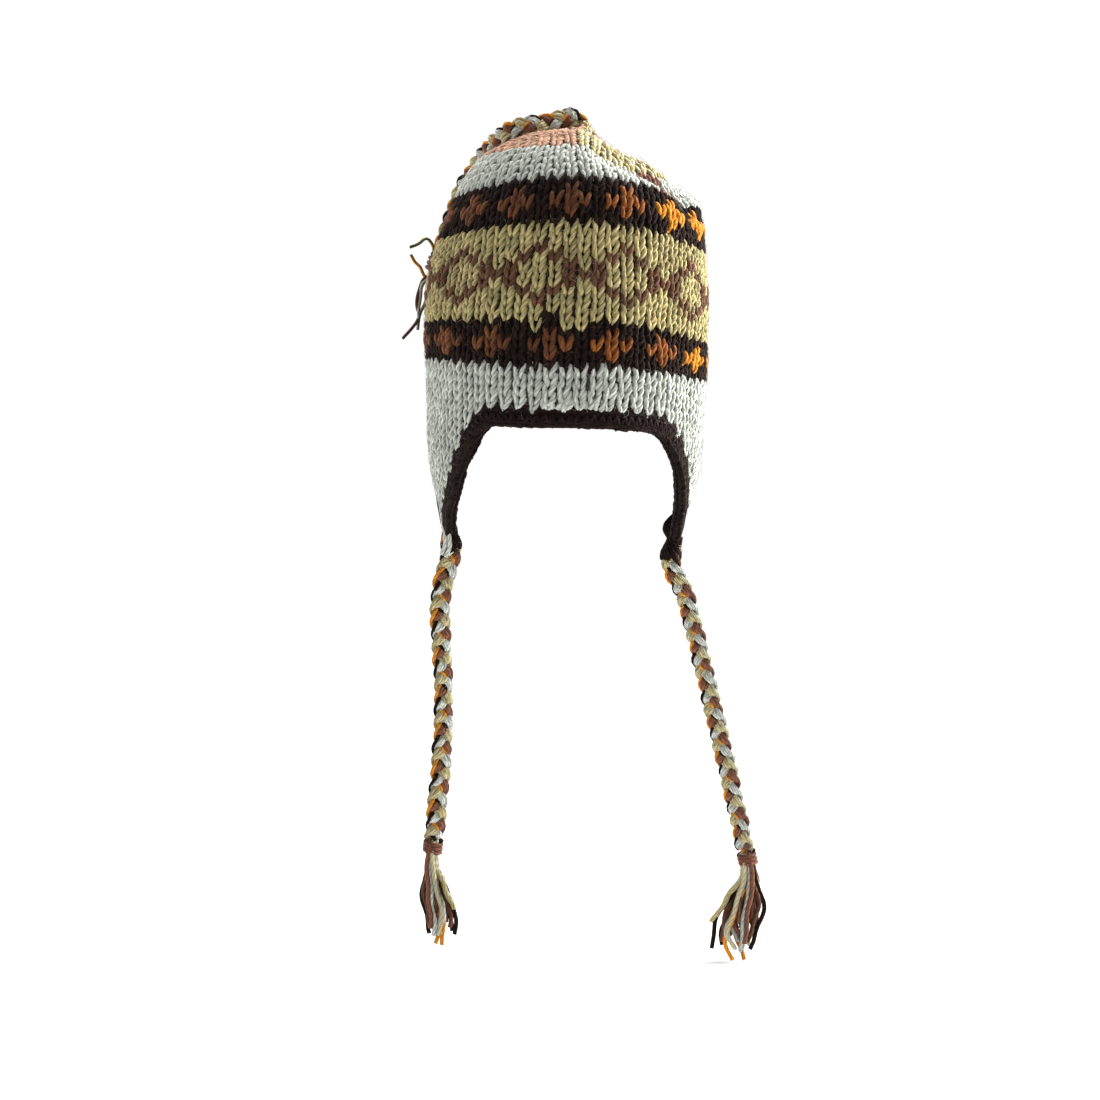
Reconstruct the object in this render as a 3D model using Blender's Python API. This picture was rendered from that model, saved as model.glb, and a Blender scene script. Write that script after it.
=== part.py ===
"""Chullo: a knitted wool hat with two ear flaps, a crocheted edge, two braided ties and a braid on its tip.

Metres, +Z up. +Y is the wearer's front and +X the wearer's right, so the back of the hat faces -Y.
The origin is the centre of the head opening, level with the lower edge of the crocheted edging at the back.
Places on the knit are given by an angle round the hat (0 at the back, 90 at the wearer's right, 180 at the
front) and by how far up they lie from the rim to the tip.
"""

import math

import bmesh
import bpy
import numpy as np
from mathutils import Vector

# Sizes of the crown
CROWN_HALF_WIDTH = 0.0885
CROWN_HALF_DEPTH = 0.1055
CROWN_HEIGHT = 0.180  # from the rim's stitches at the back up to the gathered tip
RIM_LEVEL = 0.0066  # the rim's stitches at the back above the edging's lower edge
WALL = 0.006  # one layer of thick knitting
TIP_RADIUS = 0.0065  # the gathered stitches that the top braid is tied to
TIP_ACROSS = 0.0085  # the tip's place towards the wearer's right
TIP_FORWARD = 0.004
TIP_TILT = 42.0  # degrees that the gathered tip leans to the wearer's left, where the top braid falls
GAP = 0.0003  # between neighbouring pieces

# Sizes of the ear flaps
FLAP_DROP_LEFT = 0.068  # from the rim to the end of the white knitting
FLAP_DROP_RIGHT = 0.0535
FLAP_SPAN_LEFT = 92.0  # degrees of the hat's circumference that the flap is knitted on to
FLAP_SPAN_RIGHT = 92.0
FLAP_AT_LEFT = -80.0
FLAP_AT_RIGHT = 88.0
FLAP_LEAN_LEFT = 0.0085  # how far a flap's end hangs in towards the neck
FLAP_LEAN_RIGHT = 0.0100

# Sizes of the crocheted edging
EDGING_HEIGHT = 0.0088
EDGING_THICKNESS = 0.0078
EDGING_END_LEFT = 0.0135  # how tall the edging is at the end of each flap
EDGING_END_RIGHT = 0.0215

# Sizes of the braids and tassels
BRAID_DIAMETER = 0.0128
TIE_LENGTH_LEFT = 0.190
TIE_LENGTH_RIGHT = 0.194
TOP_BRAID_LIFT = 0.0017  # its least distance from the knit under it
TASSEL_HEAD = 0.014
TASSEL_HEAD_RADIUS = 0.0078
TIE_TASSEL_LENGTH = 0.056  # the loose ends, below the head
TIE_TASSEL_SPREAD = 0.0125  # how far the ends stand out from the tassel's middle
TOP_TASSEL_LENGTH = 0.058
TOP_TASSEL_SPREAD = 0.010
TOP_TASSEL_LIFT = 0.013  # how far its loosest end stands off the knit

# Fineness of the meshes
CROWN_SIDES = 54
CROWN_RINGS_OUTSIDE = 25
CROWN_RINGS_INSIDE = 18
FLAP_ROWS = 6
HEM_STEPS = 116
BRAID_STEP_IN_DIAMETERS = 2.1
TOP_BRAID_STEPS = 11
LOCKS = 8
LOCK_STEPS = 5

# The crown's rings, from the rim to the tip. Columns: the way up the knit from rim to tip; the ring's height
# at the back, left, right and front as shares of CROWN_HEIGHT; its reach at left and right as shares of
# CROWN_HALF_WIDTH; its reach at back and front as shares of CROWN_HALF_DEPTH. The left side domes in early
# and the right stands up to a sharp shoulder; rows hang lower at the sides than at the back.
RINGS = (
    (0.000, 0.000, 0.032, -0.039, 0.010, 0.983, 0.960, 0.948, 0.985),
    (0.119, 0.152, 0.189, 0.112, 0.161, 0.992, 0.992, 0.976, 1.002),
    (0.238, 0.308, 0.321, 0.242, 0.311, 1.000, 1.000, 0.990, 1.010),
    (0.381, 0.479, 0.474, 0.407, 0.481, 0.980, 1.002, 0.985, 1.005),
    (0.500, 0.630, 0.596, 0.553, 0.634, 0.905, 0.985, 0.948, 0.965),
    (0.571, 0.729, 0.682, 0.652, 0.722, 0.845, 0.968, 0.885, 0.900),
    (0.619, 0.790, 0.745, 0.717, 0.777, 0.793, 0.930, 0.820, 0.830),
    (0.690, 0.862, 0.831, 0.750, 0.833, 0.700, 0.815, 0.685, 0.690),
    (0.738, 0.907, 0.887, 0.780, 0.875, 0.605, 0.710, 0.575, 0.580),
    (0.810, 0.945, 0.933, 0.827, 0.918, 0.440, 0.530, 0.415, 0.430),
    (0.881, 0.972, 0.967, 0.878, 0.953, 0.270, 0.365, 0.260, 0.285),
    (0.940, 0.983, 0.981, 0.933, 0.974, 0.075, 0.245, 0.115, 0.185),
)

# Folds and dents of the outer face. Columns: one end (across, forward, up) and the other end of the fold, as
# shares of CROWN_HALF_WIDTH, CROWN_HALF_DEPTH and CROWN_HEIGHT; how far the fold reaches to each side, and
# how far it goes in (negative) or out, both in thicknesses of the knitting (WALL).
FOLDS = (
    (0.340, -0.560, 0.870, 0.830, -0.330, 0.730, 2.25, -1.42),
    (0.520, -0.180, 0.820, 0.760, 0.000, 0.780, 2.50, 0.92),
    (0.420, 0.200, 0.900, 0.640, 0.420, 0.800, 2.17, -1.00),
    (-0.520, 0.300, 0.900, -0.330, 0.620, 0.860, 2.33, -0.75),
    (-0.200, -0.930, 0.520, 0.250, -0.920, 0.560, 3.00, -0.33),
    (0.700, -0.700, 0.300, 0.860, -0.480, 0.120, 3.33, -0.47),
    (-0.930, -0.330, 0.560, -0.880, -0.450, 0.340, 3.33, 0.33),
    (-0.800, 0.600, 0.200, -0.600, 0.800, 0.450, 4.00, -0.58),
    (0.500, 0.860, 0.250, 0.620, 0.780, 0.550, 4.00, -0.50),
)

# The outline of the white knitting of a flap. Columns: distance from the flap's middle as a share of half its
# span; how far down the knitting reaches there as a share of the flap's drop.
OUTLINE_LEFT = (
    (0.00, 1.000),
    (0.07, 0.992),
    (0.14, 0.955),
    (0.22, 0.890),
    (0.34, 0.790),
    (0.46, 0.665),
    (0.58, 0.500),
    (0.68, 0.350),
    (0.78, 0.205),
    (0.88, 0.090),
    (1.00, 0.000),
)
OUTLINE_RIGHT = (
    (0.00, 1.000),
    (0.07, 0.992),
    (0.14, 0.950),
    (0.22, 0.885),
    (0.34, 0.775),
    (0.46, 0.620),
    (0.58, 0.425),
    (0.68, 0.280),
    (0.78, 0.150),
    (0.88, 0.060),
    (1.00, 0.000),
)
# How a hanging flap leans in. Columns: share of the drop; share of the flap's lean.
LEAN = ((0.00, 0.00), (0.30, 0.02), (0.55, 0.20), (0.80, 0.62), (1.00, 1.00), (1.45, 1.30))

# The ties' routes below the edging, seen from the back and from the side. Columns: share of the tie's length
# down; sideways (towards +X) and forward, as shares of the tie's length.
ROUTE_LEFT = (
    (0.00, 0.000, 0.000),
    (0.14, -0.034, 0.012),
    (0.30, -0.039, 0.034),
    (0.44, -0.031, 0.056),
    (0.70, -0.036, 0.092),
    (1.00, -0.066, 0.128),
)
ROUTE_RIGHT = (
    (0.00, 0.000, 0.000),
    (0.14, 0.048, 0.014),
    (0.30, 0.092, 0.036),
    (0.50, 0.142, 0.068),
    (0.75, 0.200, 0.104),
    (1.00, 0.258, 0.134),
)
# The top braid's route over the knit. Columns: angle round the hat; the way up from rim to tip.
ROUTE_TOP = (
    (-84.0, 0.885),
    (-95.0, 0.820),
    (-108.0, 0.755),
    (-116.0, 0.690),
    (-118.0, 0.630),
    (-118.0, 0.570),
    (-118.0, 0.510),
    (-117.0, 0.460),
)
TOP_BRAID_RISE = 0.0058  # the straight start of the top braid
# The loose ends of the top tassel; the last is the middle one. Columns: sideways spread, length, and how far
# it lifts off the knit, each a share.
TOP_LOCKS = (
    (0.20, 0.72, 0.75),
    (0.50, 1.00, 1.00),
    (0.75, 0.62, 0.35),
    (1.00, 0.52, 0.15),
    (0.60, 0.85, 0.05),
    (0.90, 0.90, 0.10),
    (0.80, 0.50, 0.45),
    (0.55, 0.68, 0.90),
    (0.00, 0.94, 0.50),
)
# The loose ends of the hanging tassels; the last is the middle one. Columns: spread, length, and a swing to
# one side, each a share.
TIE_LOCKS = (
    (1.00, 0.93, 0.10),
    (0.85, 1.00, -0.12),
    (0.70, 0.88, 0.14),
    (0.95, 0.97, -0.05),
    (1.00, 0.85, 0.12),
    (0.75, 0.99, -0.14),
    (0.90, 0.91, 0.06),
    (0.80, 0.95, -0.10),
    (0.00, 1.00, 0.00),
)
# A tassel's wrapped head. Columns: share of its length; share of its radius.
HEAD_SECTION = ((0.00, 0.72), (0.22, 1.00), (0.62, 1.00), (1.00, 0.94))
HUB = 0.40  # share of the head's radius that the middle loose end fills
LOCK_ROOT = 0.66  # share of the head's radius at which the outer loose ends leave it
LOCK_ROOM = 0.84  # a loose end's share of its own patch of the head, the rest keeps it off its neighbours
LOCK_TAPER = 0.38  # share of its thickness that a loose end loses on its way
LOCK_BEND = 0.6  # how early a hanging loose end swings out

# Colours of the pieces as plain solids: red, green, blue, and roughness
OFF_WHITE = (0.60, 0.62, 0.56, 0.95)
KHAKI = (0.42, 0.36, 0.17, 0.95)
DARK_BROWN = (0.030, 0.016, 0.012, 0.95)
BRAID_BROWN = (0.22, 0.10, 0.05, 0.95)
TASSEL_BROWN = (0.30, 0.17, 0.09, 0.95)

SMALL_ANGLE = 0.01  # radians, for slopes
SMALL_WAY = 0.002  # share of the way up, for slopes
SMALL_DROP = 0.001  # metres down, for slopes
CALM_FROM = 0.90  # the way up from which folds fade, so that the tip keeps its flat round end
INNER_TOP = 0.93  # the way up of the hollow's top; above it the gathered stitches fill the middle
FLAP_END_SHARE = 0.13  # half the width of a flap's end as a share of half its span
CORNER_DROP = 0.0012  # a flap's solid starts where the knitting reaches this far below the rim


def along(table, x):
    """The row of a table at x, read as a smooth curve through its rows. x is the table's first column."""
    rows = np.asarray(table, dtype=float)
    keys = rows[:, 0]
    values = rows[:, 1:]
    slopes = np.gradient(values, keys, axis=0)
    x = np.clip(np.asarray(x, dtype=float), keys[0], keys[-1])
    low = np.clip(np.searchsorted(keys, x, side="right") - 1, 0, len(keys) - 2)
    span = keys[low + 1] - keys[low]
    s = ((x - keys[low]) / span)[..., None]
    span = span[..., None]
    rest = 1.0 - s
    return (
        values[low] * (1.0 + 2.0 * s) * rest**2
        + values[low + 1] * s**2 * (3.0 - 2.0 * s)
        + slopes[low] * span * s * rest**2
        - slopes[low + 1] * span * s**2 * rest
    )


def unit(v):
    """v at length one."""
    return v / np.maximum(np.linalg.norm(v, axis=-1, keepdims=True), 1e-12)


def ring_point(angle, row):
    """The point at an angle (radians) on rings whose columns, after the first of RINGS, are in row."""
    side = np.sin(angle)
    ahead = -np.cos(angle)
    back, left, right, front, reach_left, reach_right, reach_back, reach_front = np.moveaxis(row, -1, 0)
    middle_x = 0.5 * (reach_right - reach_left) * CROWN_HALF_WIDTH
    middle_y = 0.5 * (reach_front - reach_back) * CROWN_HALF_DEPTH
    x = middle_x + side * 0.5 * (reach_right + reach_left) * CROWN_HALF_WIDTH
    y = middle_y + ahead * 0.5 * (reach_front + reach_back) * CROWN_HALF_DEPTH
    height = (
        back * np.maximum(-ahead, 0.0) ** 2
        + front * np.maximum(ahead, 0.0) ** 2
        + left * np.maximum(-side, 0.0) ** 2
        + right * np.maximum(side, 0.0) ** 2
    )
    return np.stack([x, y, RIM_LEVEL + height * CROWN_HEIGHT], axis=-1)


def tip_axis():
    """The way that the gathered tip points."""
    tilt = math.radians(TIP_TILT)
    return np.array([-math.sin(tilt), 0.0, math.cos(tilt)])


def tip_point():
    """The middle of the gathered tip."""
    return np.array([TIP_ACROSS, TIP_FORWARD, RIM_LEVEL + CROWN_HEIGHT])


def tip_ring(angle):
    """The flat round end of the gathered tip."""
    forward = np.array([0.0, 1.0, 0.0])
    sideways = np.cross(forward, tip_axis())
    return tip_point() + TIP_RADIUS * (
        np.sin(angle)[..., None] * sideways - np.cos(angle)[..., None] * forward
    )


def smooth_crown(angle, way):
    """The crown's outer face before its folds."""
    body = ring_point(angle, along(RINGS, way))
    last = RINGS[-1][0]
    gathered = np.clip((way - last) / (1.0 - last), 0.0, 1.0)[..., None]
    return body * (1.0 - gathered) + tip_ring(angle) * gathered


def outward(point_at, angle, way):
    """The outward direction of a face given by point_at(angle, way)."""
    around = point_at(angle + SMALL_ANGLE, way) - point_at(angle - SMALL_ANGLE, way)
    lower = np.clip(way - SMALL_WAY, 0.0, 1.0 - 2.0 * SMALL_WAY)
    up = point_at(angle, lower + 2.0 * SMALL_WAY) - point_at(angle, lower)
    return unit(np.cross(around, up))


def folded(angle, way):
    """The crown's outer face with its folds and dents."""
    point = smooth_crown(angle, way)
    shift = np.zeros(point.shape[:-1])
    size = np.array([CROWN_HALF_WIDTH, CROWN_HALF_DEPTH, CROWN_HEIGHT])
    for row in FOLDS:
        start = np.array(row[0:3]) * size + np.array([0.0, 0.0, RIM_LEVEL])
        end = np.array(row[3:6]) * size + np.array([0.0, 0.0, RIM_LEVEL])
        line = end - start
        share = np.clip(((point - start) @ line) / (line @ line), 0.0, 1.0)
        away = np.linalg.norm(point - start - share[..., None] * line, axis=-1)
        shift = shift + row[7] * WALL * np.exp(-((away / (row[6] * WALL)) ** 2))
    calm = 1.0 - np.clip((way - CALM_FROM) / (1.0 - CALM_FROM), 0.0, 1.0) ** 2
    return point + outward(smooth_crown, angle, way) * (shift * calm)[..., None]


def crown_face(angle, way, depth):
    """A point of the crown, depth inside its outer face."""
    point = folded(angle, way)
    if depth == 0.0:
        return point
    return point - outward(folded, angle, way) * depth


def hem_angle(angle):
    """An angle in radians as degrees from -180 to 180."""
    return (np.degrees(angle) + 180.0) % 360.0 - 180.0


def flap_share(angle, middle, span):
    """Distance from a flap's middle as a share of half its span."""
    return (hem_angle(angle - math.radians(middle))) / (0.5 * span)


def hem_drop(angle):
    """How far below the rim the white knitting reaches, at an angle."""
    left = np.abs(flap_share(angle, FLAP_AT_LEFT, FLAP_SPAN_LEFT))
    right = np.abs(flap_share(angle, FLAP_AT_RIGHT, FLAP_SPAN_RIGHT))
    return (
        along(OUTLINE_LEFT, left)[..., 0] * FLAP_DROP_LEFT
        + along(OUTLINE_RIGHT, right)[..., 0] * FLAP_DROP_RIGHT
    )


def hanging_face(angle, drop):
    """A point of the outer face of the hem and flaps, drop below the rim."""
    point = folded(angle, np.zeros_like(angle))
    lean_left = along(LEAN, drop / FLAP_DROP_LEFT)[..., 0] * FLAP_LEAN_LEFT
    lean_right = along(LEAN, drop / FLAP_DROP_RIGHT)[..., 0] * FLAP_LEAN_RIGHT
    side = np.sin(angle)
    lean = np.maximum(-side, 0.0) ** 2 * lean_left + np.maximum(side, 0.0) ** 2 * lean_right
    inward = np.stack([-np.sign(side) * lean, 0.0 * lean, -drop], axis=-1)
    return point + inward


def hanging_out(angle, drop):
    """The outward direction of the hem and flaps, the crown's own at the rim."""
    around = hanging_face(angle + SMALL_ANGLE, drop) - hanging_face(angle - SMALL_ANGLE, drop)
    up = hanging_face(angle, drop) - hanging_face(angle, drop + SMALL_DROP)
    at_rim = outward(folded, angle, np.zeros_like(angle))
    below = np.clip(drop / FLAP_DROP_LEFT, 0.0, 1.0)[..., None]
    return unit(at_rim * (1.0 - below) + unit(np.cross(around, up)) * below)


def material(name, look):
    """A plain matt wool material."""
    mat = bpy.data.materials.new(name)
    mat.use_nodes = True
    surface = mat.node_tree.nodes["Principled BSDF"]
    surface.inputs["Base Color"].default_value = (look[0], look[1], look[2], 1.0)
    surface.inputs["Roughness"].default_value = look[3]
    surface.inputs["Metallic"].default_value = 0.0
    return mat


def add_solid(name, points, faces, look):
    """One named solid from its points and faces, shaded smooth, with its faces outward."""
    mesh = bpy.data.meshes.new(name)
    bm = bmesh.new()
    corners = [bm.verts.new(Vector(tuple(p))) for p in points]
    for face in faces:
        bm.faces.new([corners[i] for i in face])
    bmesh.ops.recalc_face_normals(bm, faces=bm.faces)
    for face in bm.faces:
        face.smooth = True
    bm.to_mesh(mesh)
    bm.free()
    solid = bpy.data.objects.new(name, mesh)
    mesh.materials.append(material(name + "_wool", look))
    bpy.context.collection.objects.link(solid)
    return solid


def ring_faces(rings, sides):
    """Faces between neighbouring rings of sides points, numbered ring after ring."""
    faces = []
    for r in range(rings - 1):
        for k in range(sides):
            m = (k + 1) % sides
            faces.append((r * sides + k, r * sides + m, (r + 1) * sides + m, (r + 1) * sides + k))
    return faces


def build_crown():
    """The hollow knitted cap: the outer face up to the tip, then the inner face back down to the rim."""
    angle = np.linspace(0.0, 2.0 * math.pi, CROWN_SIDES, endpoint=False)
    points = []
    for way in np.linspace(0.0, 1.0, CROWN_RINGS_OUTSIDE):
        points.extend(crown_face(angle, np.full_like(angle, way), 0.0))
    for way in np.linspace(INNER_TOP, 0.0, CROWN_RINGS_INSIDE):
        points.extend(crown_face(angle, np.full_like(angle, way), WALL))
    outside = CROWN_RINGS_OUTSIDE * CROWN_SIDES
    faces = ring_faces(CROWN_RINGS_OUTSIDE, CROWN_SIDES)
    for face in ring_faces(CROWN_RINGS_INSIDE, CROWN_SIDES):
        faces.append(tuple(outside + i for i in face))
    last = (CROWN_RINGS_OUTSIDE + CROWN_RINGS_INSIDE - 1) * CROWN_SIDES
    for k in range(CROWN_SIDES):
        m = (k + 1) % CROWN_SIDES
        faces.append((last + k, last + m, m, k))
    tip_ring = (CROWN_RINGS_OUTSIDE - 1) * CROWN_SIDES
    faces.append(tuple(tip_ring + k for k in range(CROWN_SIDES)))
    faces.append(tuple(outside + k for k in range(CROWN_SIDES)))
    return add_solid("crown", points, faces, KHAKI)


def hem_angles():
    """Angles of evenly spaced points along the edge of the white knitting, once round from the front."""
    angle = np.linspace(-math.pi, math.pi, 1441)
    line = hanging_face(angle, hem_drop(angle))
    steps = np.linalg.norm(np.diff(line, axis=0), axis=1)
    length = np.concatenate([[0.0], np.cumsum(steps)])
    wanted = np.linspace(0.0, length[-1], HEM_STEPS, endpoint=False)
    return np.interp(wanted, length, angle)


def build_flap(name, middle, span):
    """A knitted flap: columns across, rows down from the rim to the outline, an outer and an inner face."""
    angles = hem_angles()
    own = (np.abs(flap_share(angles, middle, span)) < 1.0) & (hem_drop(angles) > CORNER_DROP)
    angles = angles[own]
    drops = hem_drop(angles)
    columns = len(angles)
    points = []
    index = {}
    for face_no, depth in enumerate((0.0, WALL)):
        for c in range(columns):
            for r in range(FLAP_ROWS):
                drop = GAP + (drops[c] - GAP) * r / (FLAP_ROWS - 1)
                index[face_no, c, r] = len(points)
                points.append(hanging_face(angles[c], drop) - hanging_out(angles[c], drop) * depth)
    faces = []
    for c in range(columns - 1):
        for r in range(FLAP_ROWS - 1):
            for f in (0, 1):
                faces.append((index[f, c, r], index[f, c + 1, r], index[f, c + 1, r + 1], index[f, c, r + 1]))
        for r in (0, FLAP_ROWS - 1):
            faces.append((index[0, c, r], index[0, c + 1, r], index[1, c + 1, r], index[1, c, r]))
    for c in (0, columns - 1):
        for r in range(FLAP_ROWS - 1):
            faces.append((index[0, c, r], index[0, c, r + 1], index[1, c, r + 1], index[1, c, r]))
    return add_solid(name, points, faces, OFF_WHITE)


def edging_height(angle):
    """How tall the edging is at an angle: taller round the end of each flap."""
    left = flap_share(angle, FLAP_AT_LEFT, FLAP_SPAN_LEFT)
    right = flap_share(angle, FLAP_AT_RIGHT, FLAP_SPAN_RIGHT)
    return (
        EDGING_HEIGHT
        + (EDGING_END_LEFT - EDGING_HEIGHT) * np.exp(-((left / FLAP_END_SHARE) ** 2))
        + (EDGING_END_RIGHT - EDGING_HEIGHT) * np.exp(-((right / FLAP_END_SHARE) ** 2))
    )


def edging_frame(angle):
    """On the edge of the white knitting: the point in the middle of the wall, the way out of the wall and the
    way off the knitting along the wall."""
    drop = hem_drop(angle)
    out = hanging_out(angle, drop)
    middle = hanging_face(angle, drop) - out * 0.5 * WALL
    step = SMALL_ANGLE * 0.5
    ahead = hanging_face(angle + step, hem_drop(angle + step)) - hanging_face(
        angle - step, hem_drop(angle - step)
    )
    return middle, out, unit(np.cross(ahead, out))


# The edging's cross-section. Columns: through the wall as a share of half the thickness; down as a share of
# the height.
EDGING_SECTION = (
    (0.72, 0.0),
    (1.00, 0.28),
    (0.98, 0.66),
    (0.45, 1.00),
    (-0.45, 1.00),
    (-0.98, 0.66),
    (-1.00, 0.28),
    (-0.72, 0.0),
)


def build_edging():
    """The crocheted edge: one closed band that follows the edge of the white knitting all the way round."""
    angle = hem_angles()
    middle, out, down = edging_frame(angle)
    down = np.roll(down, 1, axis=0) + 2.0 * down + np.roll(down, -1, axis=0)
    down = unit(down - out * np.sum(down * out, axis=-1, keepdims=True))
    height = edging_height(angle)
    points = []
    for m, o, d, h in zip(middle, out, down, height):
        for through, share in EDGING_SECTION:
            points.append(m + o * through * 0.5 * EDGING_THICKNESS + d * (GAP + share * h))
    sides = len(EDGING_SECTION)
    faces = ring_faces(HEM_STEPS, sides)
    last = (HEM_STEPS - 1) * sides
    for k in range(sides):
        m = (k + 1) % sides
        faces.append((last + k, last + m, m, k))
    return add_solid("edging", points, faces, DARK_BROWN)


def tube(name, line, look):
    """A braid's body as a round tube along a line of points, with flat closed ends."""
    curve = bpy.data.curves.new(name, "CURVE")
    curve.dimensions = "3D"
    curve.bevel_depth = 0.5 * BRAID_DIAMETER
    curve.bevel_resolution = 2
    curve.use_fill_caps = True
    spline = curve.splines.new("POLY")
    spline.points.add(len(line) - 1)
    for node, point in zip(spline.points, line):
        node.co = (point[0], point[1], point[2], 1.0)
    curve.materials.append(material(name + "_wool", look))
    solid = bpy.data.objects.new(name, curve)
    bpy.context.collection.objects.link(solid)
    return solid


def flap_end(middle):
    """The lowest point of the edging under a flap, in the middle of the wall, and the way down there."""
    angle = np.array(math.radians(middle))
    point, _, down = edging_frame(angle)
    return point + down * (GAP + edging_height(angle)), down


def tie_line(middle, length, route):
    """The line of a tie from the edging's lowest point down to its tassel."""
    start, down = flap_end(middle)
    start = start + down * GAP
    neck = down * 0.5 * BRAID_DIAMETER
    steps = max(6, round(length / (BRAID_STEP_IN_DIAMETERS * BRAID_DIAMETER)))
    line = [start]
    for share in np.linspace(0.0, 1.0, steps + 1):
        sideways, forward = along(route, share)
        line.append(start + neck + np.array([sideways, forward, -share]) * (length - 0.5 * BRAID_DIAMETER))
    return line


def top_line():
    """The line of the top braid: up from the tip, over and down the left side, lying on the knit."""
    start = tip_point() + tip_axis() * GAP
    lift = 0.5 * BRAID_DIAMETER + TOP_BRAID_LIFT
    route = np.array([(math.radians(a), w) for a, w in ROUTE_TOP])
    place = np.linspace(0.0, 1.0, len(route))
    fine = along(np.column_stack([place, route]), np.linspace(0.0, 1.0, 60))
    lying = folded(fine[:, 0], fine[:, 1]) + outward(folded, fine[:, 0], fine[:, 1]) * lift
    rise = start + tip_axis() * TOP_BRAID_RISE
    rough = np.vstack([start, rise, lying])
    steps = np.linalg.norm(np.diff(rough, axis=0), axis=1)
    length = np.concatenate([[0.0], np.cumsum(steps)])
    wanted = np.linspace(length[1], length[-1], TOP_BRAID_STEPS)
    body = np.column_stack([np.interp(wanted, length, rough[:, axis]) for axis in range(3)])
    return [start] + list(body)


def across(direction, hint):
    """Two directions square to direction, the first as near to hint as can be."""
    first = unit(hint - direction * (hint @ direction))
    return first, np.cross(direction, first)


def band(lower, upper):
    """Faces between two rings of point numbers."""
    n = len(lower)
    return [(lower[k], lower[(k + 1) % n], upper[(k + 1) % n], upper[k]) for k in range(n)]


def tassel(name, line_end, direction, hint, locks, look):
    """A tassel: a wrapped head and, fused to its lower face, loose ends that follow the lines in locks.

    locks gives for each loose end its middle line: points below the head, the heading and the size at each.
    """
    first, second = across(direction, hint)
    start = line_end + direction * GAP
    sides = 2 * LOCKS
    around = np.linspace(0.0, 2.0 * math.pi, sides, endpoint=False)
    rays = np.cos(around)[:, None] * first + np.sin(around)[:, None] * second
    points = []
    for way, share in HEAD_SECTION:
        points.extend(start + direction * way * TASSEL_HEAD + rays * share * TASSEL_HEAD_RADIUS)
    faces = ring_faces(len(HEAD_SECTION), sides)
    faces.append(tuple(range(sides)))
    rim = (len(HEAD_SECTION) - 1) * sides
    hub = len(points)
    points.extend(start + direction * TASSEL_HEAD + rays[::2] * HUB * TASSEL_HEAD_RADIUS)
    cells = []
    for j in range(LOCKS):
        n = (j + 1) % LOCKS
        cells.append((rim + 2 * j, rim + 2 * j + 1, rim + 2 * n, hub + n, hub + j))
    cells.append(tuple(hub + j for j in range(LOCKS)))
    for cell, line in zip(cells, locks):
        ring = np.array([points[i] for i in cell])
        centre = ring.mean(axis=0)
        shape = (ring - centre) * LOCK_ROOM
        flat = [(s @ first, s @ second) for s in shape]
        previous = cell
        current = tuple(range(len(points), len(points) + len(cell)))
        points.extend(centre + shape)
        faces.extend(band(previous, current))
        for point, heading, size in line:
            u, v = across(heading, first)
            previous = current
            current = tuple(range(len(points), len(points) + len(cell)))
            points.extend(point + (u * s + v * t) * size for s, t in flat)
            faces.extend(band(previous, current))
        faces.append(current)
    return add_solid(name, points, faces, look)


def lock_roots(first, second):
    """For each loose end, the direction from the head's middle to its root and how far out the root is."""
    roots = []
    for j in range(LOCKS):
        a = 2.0 * math.pi * (j + 0.5) / LOCKS
        roots.append((first * math.cos(a) + second * math.sin(a), LOCK_ROOT * TASSEL_HEAD_RADIUS))
    roots.append((first, 0.0))
    return roots


def with_headings(points, first_heading):
    """Points of a loose end with the direction at each and a size that tapers to a loose tip."""
    out = []
    for k, point in enumerate(points):
        before = points[k - 1] if k else point - first_heading
        after = points[k + 1] if k + 1 < len(points) else point + (point - before)
        share = (k + 1) / len(points)
        out.append((point, unit(after - before), 1.0 - LOCK_TAPER * share**2))
    return out


def hanging_locks(line_end, direction, hint):
    """Middle lines of the loose ends of a tassel that hangs free."""
    first, second = across(direction, hint)
    base = line_end + direction * (GAP + TASSEL_HEAD)
    down = np.array([0.0, 0.0, -1.0])
    locks = []
    for (spread, length, swing), (ray, root) in zip(TIE_LOCKS, lock_roots(first, second)):
        level = unit(ray - down * (ray @ down))
        turn = np.cross(down, level)
        points = []
        for k in range(1, LOCK_STEPS + 1):
            s = k / LOCK_STEPS
            fall = unit(direction * (1.0 - s) + down * s) * s * length * TIE_TASSEL_LENGTH
            swung = s * (1.0 + LOCK_BEND * (1.0 - s))
            out = root + (spread * TIE_TASSEL_SPREAD - root) * swung
            side = swing * TIE_TASSEL_SPREAD * math.sin(math.pi * s)
            points.append(base + fall + level * out + turn * side)
        locks.append(with_headings(points, direction))
    return locks


def lying_locks(line_end, direction, out):
    """Middle lines of the loose ends of the top tassel, which lies along the left side of the knit."""
    first, second = across(direction, out)
    base = line_end + direction * (GAP + TASSEL_HEAD)
    locks = []
    for (spread, length, lift), (ray, root) in zip(TOP_LOCKS, lock_roots(first, second)):
        sideways = second * np.sign(ray @ second) * spread * TOP_TASSEL_SPREAD
        points = []
        for k in range(1, LOCK_STEPS + 1):
            s = k / LOCK_STEPS
            fall = direction * s * length * TOP_TASSEL_LENGTH
            points.append(base + fall + ray * root + sideways * s + first * s**2 * lift * TOP_TASSEL_LIFT)
        locks.append(with_headings(points, direction))
    return locks


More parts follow.
